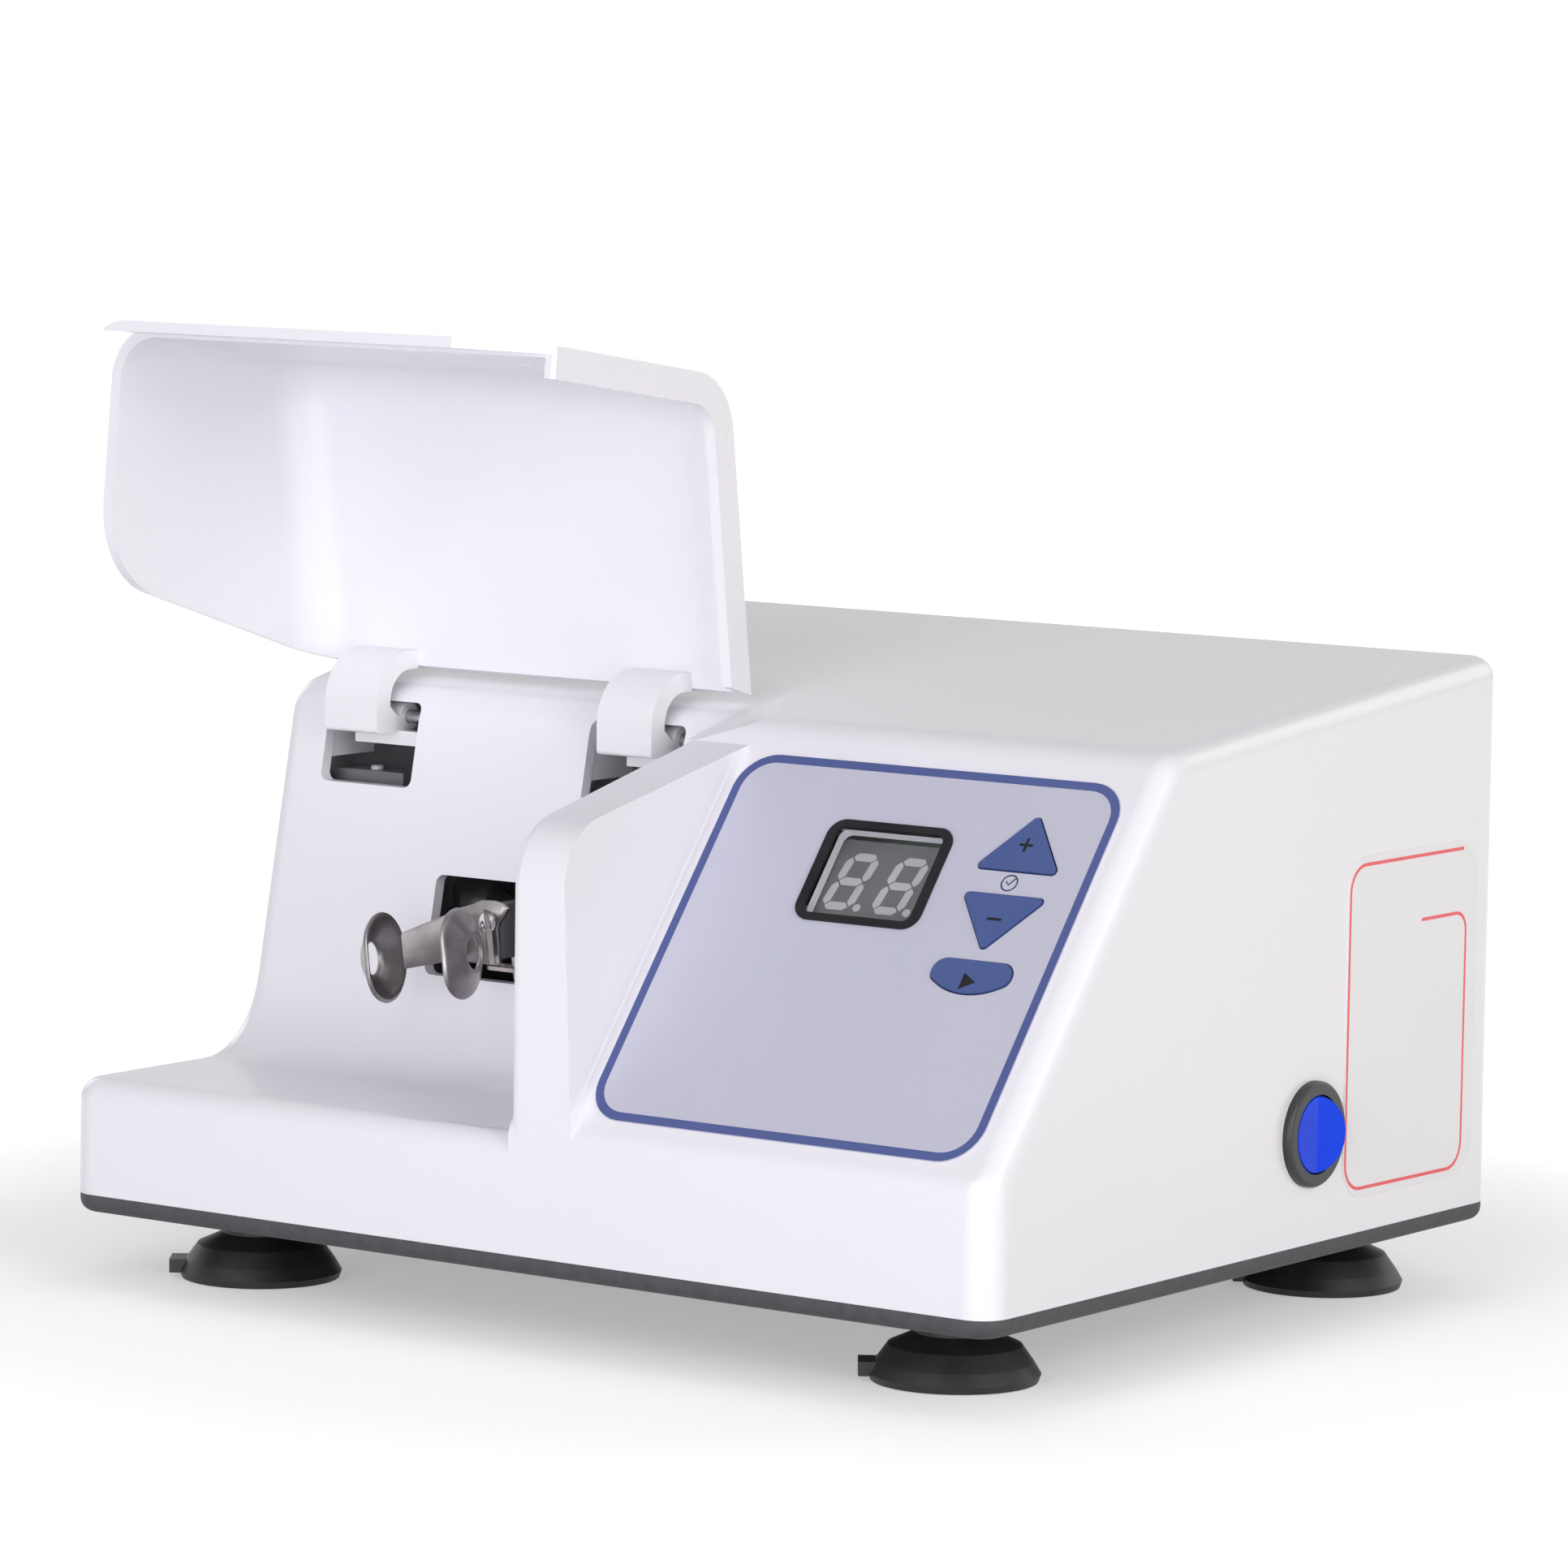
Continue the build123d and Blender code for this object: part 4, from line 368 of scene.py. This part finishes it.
# ---------------------------------------------------------------- display
# Clear pane in a moulded black frame that clips into the console. Below it, on the control
# board, is a grey two-digit module with slanted off-white segments, here unlit.
frame_black = drifting("frame_black", (0.012, 0.012, 0.015), (0.02, 0.02, 0.022), 100.0, 1800.0, 0.3, 0.5, 0.00001,
                       specular=0.12)
dress(frame_black, "display_frame")
module_grey = drifting("module_grey", (0.10, 0.095, 0.10), (0.085, 0.08, 0.085), 60.0, 1500.0, 0.4, 0.55, 0.000008)
dress(module_grey, "display_module")
segment_white = drifting("segment_white", (0.42, 0.41, 0.44), (0.36, 0.35, 0.38), 60.0, 1500.0, 0.4, 0.55, 0.000008)
dress(segment_white, "display_digits")
pane_material, tree, shader = new_material("clear_pane")
shader.inputs["Base Color"].default_value = (0.93, 0.94, 0.95, 1)
shader.inputs["Roughness"].default_value = 0.03
shader.inputs["IOR"].default_value = 1.3
shader.inputs["Transmission Weight"].default_value = 1.0
dress(pane_material, "display_window")

# ---------------------------------------------------------------- keys
# Three blue moulded caps that stand just proud of the film and press small switches on the
# board below. Their signs and the clock between them are printed in dark ink.
KEY_MIDDLE = 96.9
KEY_TOP = 0.8
KEY_MARKS_UP = {"up": 80.2, "down": 61.9, "start": 46.6}
STROKE = 0.62
key_blue = drifting("key_blue", (0.05, 0.088, 0.27), (0.045, 0.08, 0.25), 60.0, 1600.0, 0.35, 0.5, 0.000012)
dress(key_blue, "key_up", "key_down", "key_start")

key_ink = drifting("key_ink", (0.012, 0.012, 0.016), (0.02, 0.02, 0.026), 300.0, 2400.0, 0.4, 0.55, 0.000003,
                   specular=0.12)
navy_ink = drifting("navy_ink", (0.02, 0.022, 0.07), (0.03, 0.032, 0.09), 300.0, 2400.0, 0.4, 0.55, 0.000003)


def bar(middle, length, thickness, tilt=0.0):
    """Short straight stroke with cut ends."""
    along = Vector((cos(tilt), sin(tilt))) * length / 2
    ends = [(middle[0] - along.x, middle[1] - along.y), (middle[0] + along.x, middle[1] + along.y)]
    return ribbon(ends, thickness)


plus = (KEY_MIDDLE, KEY_MARKS_UP["up"])
printed("up_mark", "up_key", key_ink, [(bar(plus, 3.3, STROKE), None)], on_panel, KEY_TOP, KEY_TOP + INK)
printed("up_mark_stem", "up_key", key_ink, [(bar(plus, 3.3, STROKE, pi / 2), None)], on_panel, KEY_TOP,
        KEY_TOP + 1.3 * INK)
minus = (KEY_MIDDLE, KEY_MARKS_UP["down"])
printed("down_mark", "down_key", key_ink, [(bar(minus, 3.5, STROKE), None)], on_panel, KEY_TOP, KEY_TOP + INK)
start = (KEY_MIDDLE, KEY_MARKS_UP["start"])
play = [(start[0] - 1.5, start[1] - 2.0), (start[0] + 2.0, start[1]), (start[0] - 1.5, start[1] + 2.0)]
printed("start_mark", "start_key", key_ink, [(play, None)], on_panel, KEY_TOP, KEY_TOP + INK)
clock = (96.5, 71.0)
hands = [(clock[0] - 0.9, clock[1] + 0.35), (clock[0] - 0.1, clock[1] - 0.5), (clock[0] + 1.15, clock[1] + 1.2)]
printed("clock_mark", "chassis", navy_ink, [(circle(clock, 2.05), circle(clock, 1.7)), (ribbon(hands, 0.36), None)],
        on_panel, FILM_TOP, FILM_TOP + INK)

# ---------------------------------------------------------------- mains switch
# Round rocker switch, vivid blue plastic in a black bezel, snapped into a hole in the right
# wall. It carries the two generic state marks in white.
bezel_black = drifting("bezel_black", (0.02, 0.02, 0.022), (0.03, 0.03, 0.032), 120.0, 1500.0, 0.35, 0.5, 0.00001)
dress(bezel_black, "switch_body")
rocker_blue = drifting("rocker_blue", (0.002, 0.055, 0.8), (0.002, 0.045, 0.7), 70.0, 900.0, 0.3, 0.42, 0.000004,
                       specular=0.2)
dress(rocker_blue, "switch_rocker")
mark_white = drifting("mark_white", (0.85, 0.85, 0.86), (0.8, 0.8, 0.82), 300.0, 2400.0, 0.35, 0.5, 0.000003)
RAY_START = 0.3
RAY_LIFT = 0.004
ROCKER_MARKS = {"off_mark": ((0.0213, 0.0312), (circle((0, 0), 1.95), circle((0, 0), 1.1))),
                "on_mark": ((0.0129, 0.0312), (rounded((0, 0), (1.6, 0.5), 0.45), None))}


def mark_on(node, name, spot, shape, material, body):
    """Lays a small flat mark on the right-hand face of a piece and bends it to that face."""
    hull = nodes[node]
    far = Vector((RAY_START, spot[0], spot[1]))
    to_local = hull.matrix_world.inverted()
    aim = to_local.to_3x3() @ Vector((-1, 0, 0))
    _, foot, normal, _ = hull.ray_cast(to_local @ far, aim)
    foot = hull.matrix_world @ foot
    normal = (hull.matrix_world.to_3x3() @ normal).normalized()
    across = Vector((0, 1, 0)) - normal * normal.y
    across.normalize()
    up = normal.cross(across)

    def place(u, v, n):
        above = foot + (across * u + up * v) * MM + normal * RAY_LIFT
        _, under, _, _ = hull.ray_cast(to_local @ above, to_local.to_3x3() @ -normal)
        return hull.matrix_world @ under + normal * n * MM

    printed(name, body, material, [shape], place, 0.0, INK * 2)


for name, (spot, shape) in ROCKER_MARKS.items():
    mark_on("switch_rocker", name, spot, shape, mark_white, "rocker")

# ---------------------------------------------------------------- side label
# Glossy white film with rounded corners, stuck to the right wall behind the switch. It is bare
# but for a thin red line that frames where its text would be.
label_film = drifting("label_film", (0.84, 0.83, 0.85), (0.81, 0.8, 0.82), 20.0, 1200.0, 0.18, 0.3, 0.000005)
dress(label_film, "side_label")
LABEL_ORIGIN = (120.99, -4.0, 19.5)
LABEL_LINE = 0.75
label_red = drifting("label_red", (0.82, 0.075, 0.085), (0.86, 0.14, 0.15), 25.0, 1500.0, 0.3, 0.45, 0.000003)


def on_label(along, up, out):
    """Place on the label, from millimetres along it, up it and out of it."""
    return Vector((LABEL_ORIGIN[0] + out, LABEL_ORIGIN[1] + along, LABEL_ORIGIN[2] + up)) * MM


def swept_corner(centre, radius, start, end, steps=8):
    """Points of an arc, angles in quarter turns."""
    return [(centre[0] + radius * cos(pi / 2 * (start + (end - start) * i / steps)),
             centre[1] + radius * sin(pi / 2 * (start + (end - start) * i / steps))) for i in range(steps + 1)]


open_frame = ([(83.1, 80.3)] + swept_corner((41.8, 74.3), 6.0, 1, 2) + swept_corner((41.8, 15.7), 6.0, 2, 3)
              + swept_corner((78.8, 15.2), 5.8, 3, 4) + swept_corner((80.6, 62.1), 4.0, 0, 1) + [(65.7, 66.1)])
printed("label_frame", "chassis", label_red, [(ribbon(open_frame, LABEL_LINE), None)], on_label, 0.0, INK)

# ---------------------------------------------------------------- nutating drive
# Pressed steel fork with two dished, holed cups, riveted to a cast arm. The arm turns on a
# skewed hub on the motor shaft and is held back by a coil spring.
HUB = Vector((-55.61182, -8.0, 77.5))
HUB_TILT = radians(-7.5)
CUP_AT = ((-13.4, -58.0, -2.9), (11.9, -58.0, -2.9))
CUP_TURN = radians(10.5)
CUP_SKIN = [(4.0, 3.4), (4.6, 2.95), (5.6, 2.3), (6.6, 1.75), (7.6, 1.3), (8.5, 0.85), (9.3, 0.55), (9.9, 0.4),
            (10.3, 0.5), (10.45, 0.85), (10.2, 1.35), (9.5, 1.75), (8.6, 2.2), (7.5, 2.75), (6.5, 3.3), (5.5, 3.9),
            (4.9, 4.3), (4.3, 4.5), (3.8, 4.4), (3.65, 4.0)]
CUP_STEPS = 72
CUP_DEEP = 0.93
CUP_TALL = 0.96
CUP_WAIST = 0.17
CUP_SHIFT = 2.6
CUP_INNER = 4.0
CUP_REACH = 6.0
ARM_ROOT = (3.9, -40.2)
ARM_TIP_INSET = 0.2
ARM_RUN = 9.2
ARM_LEVELS = (-5.3, 5.6)
ARM_TAPER = (0.9, 3.9)
ARM_STEPS = 8
SHEET_HALF = 0.55
EDGE_ROLL = 0.35
EDGE_PULL = 0.55
SMOOTH_BELOW = radians(50)
fork_steel = drifting("fork_steel", (0.36, 0.335, 0.34), (0.19, 0.175, 0.18), 130.0, 1300.0, 0.24, 0.42, 0.00002,
                      metal=1.0)
bright_steel = drifting("bright_steel", (0.72, 0.71, 0.70), (0.6, 0.59, 0.58), 260.0, 2600.0, 0.06, 0.16, 0.000002,
                        metal=1.0)
RIVET_AT = (4.6, -40.6, 2.4)
RIVET_SKIN = [(2.15, 0.0), (2.35, 0.25), (2.35, 0.5), (2.1, 0.95), (1.6, 1.35), (0.9, 1.6)]
RIVET_RISE = 1.7
RIVET_STEPS = 32
dress(fork_steel, "arm_spring", "hub_retainer")
fork_mesh = bpy.data.meshes.new("pressed_fork")
sheet = bmesh.new()


def in_arm(x, y, z):
    """From the arm's own tilted frame to the appliance's."""
    return (HUB + Matrix.Rotation(HUB_TILT, 3, "Y") @ Vector((x, y, z))) * MM


def dished_cup(side):
    """Dished cup, waisted in front where the capsule slides in, its lip rolled outwards."""
    middle = CUP_AT[(side + 1) // 2]
    rings = []
    for step in range(CUP_STEPS):
        angle = 2 * pi * step / CUP_STEPS
        front = max(0.0, -cos(angle))
        ring = []
        for radius, depth in CUP_SKIN:
            grown = max(0.0, (radius - CUP_INNER) / CUP_REACH)
            shape = radius * (1 - CUP_WAIST * grown * front ** 6)
            out = Vector((side * (depth - CUP_SHIFT), shape * CUP_DEEP * cos(angle), shape * CUP_TALL * sin(angle)))
            out.rotate(Matrix.Rotation(CUP_TURN, 3, "Z"))
            ring.append(sheet.verts.new(in_arm(middle[0] + out.x, middle[1] + out.y, middle[2] + out.z)))
        rings.append(ring)
    for step in range(CUP_STEPS):
        walls(sheet, rings[step], rings[(step + 1) % CUP_STEPS])


def strip(stations):
    """Solid strip of sheet through (x, y, low z, high z, half thickness across) stations."""
    rings = []
    for i, (x, y, low, high, half) in enumerate(stations):
        ahead, behind = stations[min(i + 1, len(stations) - 1)], stations[max(i - 1, 0)]
        run = Vector((ahead[0] - behind[0], ahead[1] - behind[1])).normalized()
        off = Vector((-run.y, run.x)) * half
        ring = []
        for turn in (1, -1):
            levels = (low, low + EDGE_ROLL, high - EDGE_ROLL, high)[::turn]
            for rank, z in enumerate(levels):
                pull = EDGE_PULL if rank in (0, 3) else 1.0
                ring.append(sheet.verts.new(in_arm(x + off.x * turn * pull, y + off.y * turn * pull, z)))
        rings.append(ring)
    for near, far in zip(rings, rings[1:]):
        walls(sheet, near, far)
    sheet.faces.new(rings[0][::-1])
    sheet.faces.new(rings[-1])


def smooth_piece(name, mesh, shell, material, replaced):
    """Closes a shell as a smooth piece on the arm, in place of a CAD node."""
    bmesh.ops.recalc_face_normals(shell, faces=shell.faces)
    shell.to_mesh(mesh)
    shell.free()
    mesh.materials.append(material)
    for polygon in mesh.polygons:
        polygon.use_smooth = True
    mesh.set_sharp_from_angle(angle=SMOOTH_BELOW)
    piece = add_object(name, mesh)
    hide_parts(replaced)
    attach(piece, "arm")


for side in (-1, 1):
    dished_cup(side)
    root_x = side * ARM_ROOT[0]
    tip_x = CUP_AT[(side + 1) // 2][0] - side * ARM_TIP_INSET
    path = []
    for i in range(ARM_STEPS + 1):
        t = i / ARM_STEPS
        path.append((root_x + (tip_x - root_x) * t, ARM_ROOT[1] - ARM_RUN * t,
                     ARM_LEVELS[0] - ARM_TAPER[0] * t, ARM_LEVELS[1] - ARM_TAPER[1] * t, SHEET_HALF))
    strip(path)

LUG = [(-4.6, -5.6), (5.9, -7.2), (6.6, -6.6), (6.9, 1.0), (7.7, 2.4), (9.4, 4.0), (10.4, 5.2), (9.0, 6.3), (6.6, 7.1),
       (3.6, 7.4), (0.6, 6.7), (-4.9, 5.7)]
lug_rings = [[sheet.verts.new(in_arm(x * grow, y, z * grow)) for x, z in LUG]
             for y, grow in ((-39.55, 0.97), (-39.7, 1.0), (-40.6, 1.0), (-40.75, 0.97))]
for near, far in zip(lug_rings, lug_rings[1:]):
    walls(sheet, near, far)
sheet.faces.new(lug_rings[0][::-1])
sheet.faces.new(lug_rings[-1])

rivet_mesh = bpy.data.meshes.new("domed_rivet")
dome = bmesh.new()
dome_rings = [[dome.verts.new(in_arm(RIVET_AT[0] + u, RIVET_AT[1] - rise, RIVET_AT[2] + v))
               for u, v in circle((0, 0), radius, RIVET_STEPS)] for radius, rise in RIVET_SKIN]
for near, far in zip(dome_rings, dome_rings[1:]):
    walls(dome, near, far)
tip = dome.verts.new(in_arm(RIVET_AT[0], RIVET_AT[1] - RIVET_RISE, RIVET_AT[2]))
for i in range(RIVET_STEPS):
    dome.faces.new((dome_rings[-1][i], dome_rings[-1][(i + 1) % RIVET_STEPS], tip))
dome.faces.new(dome_rings[0][::-1])
smooth_piece("domed_rivet", rivet_mesh, dome, bright_steel, "fork_rivet")
smooth_piece("pressed_fork", fork_mesh, sheet, fork_steel, "fork_clip")
cast_alloy = drifting("cast_alloy", (0.52, 0.52, 0.53), (0.4, 0.4, 0.41), 150.0, 1100.0, 0.35, 0.55, 0.00003, metal=1.0)
dress(cast_alloy, "swing_arm")

# ---------------------------------------------------------------- inside the housing
# Motor, brackets and transformer stand on the base plate, held by screws; the control board
# hangs on nylon standoffs under the console. They show only through the slot and the windows.
motor_can = drifting("motor_can", (0.06, 0.06, 0.065), (0.08, 0.08, 0.085), 80.0, 1600.0, 0.4, 0.6, 0.00001)
dress(motor_can, "motor_body")
sheet_zinc = drifting("sheet_zinc", (0.42, 0.42, 0.44), (0.33, 0.34, 0.36), 60.0, 1800.0, 0.3, 0.5, 0.000008, metal=1.0)
dress(sheet_zinc, "motor_bracket", "outboard_bracket", "transformer_clamp")
laminations = drifting("laminations", (0.09, 0.09, 0.10), (0.07, 0.07, 0.08), 90.0, 2200.0, 0.45, 0.7, 0.00002)
dress(laminations, "transformer_core")
winding_tape = drifting("winding_tape", (0.45, 0.30, 0.05), (0.38, 0.25, 0.04), 70.0, 900.0, 0.3, 0.5, 0.00001)
dress(winding_tape, "transformer_coil")
board_green = drifting("board_green", (0.015, 0.12, 0.05), (0.012, 0.10, 0.04), 60.0, 1500.0, 0.3, 0.45, 0.00001)
dress(board_green, "control_board")
nylon = drifting("nylon", (0.72, 0.70, 0.64), (0.66, 0.64, 0.58), 90.0, 1500.0, 0.35, 0.55, 0.00001)
dress(nylon, "board_standoffs")
component_black = drifting("component_black", (0.02, 0.02, 0.02), (0.03, 0.03, 0.03), 100.0, 1800.0, 0.4, 0.6, 0.00001)
dress(component_black, "tact_switches")
brass = drifting("tinned_brass", (0.62, 0.52, 0.32), (0.55, 0.45, 0.27), 120.0, 1800.0, 0.2, 0.4, 0.000005, metal=1.0)
dress(brass, "inlet_pins", "switch_terminals")

# ---------------------------------------------------------------- rear sockets
# Black moulded mains inlet, screwed into the rear wall, and beside it a round fuse holder with
# a cap that twists off.
inlet_black = drifting("inlet_black", (0.015, 0.015, 0.016), (0.025, 0.025, 0.026), 100.0, 1400.0, 0.4, 0.6, 0.00002)
dress(inlet_black, "power_inlet", "fuse_holder", "fuse_cap")
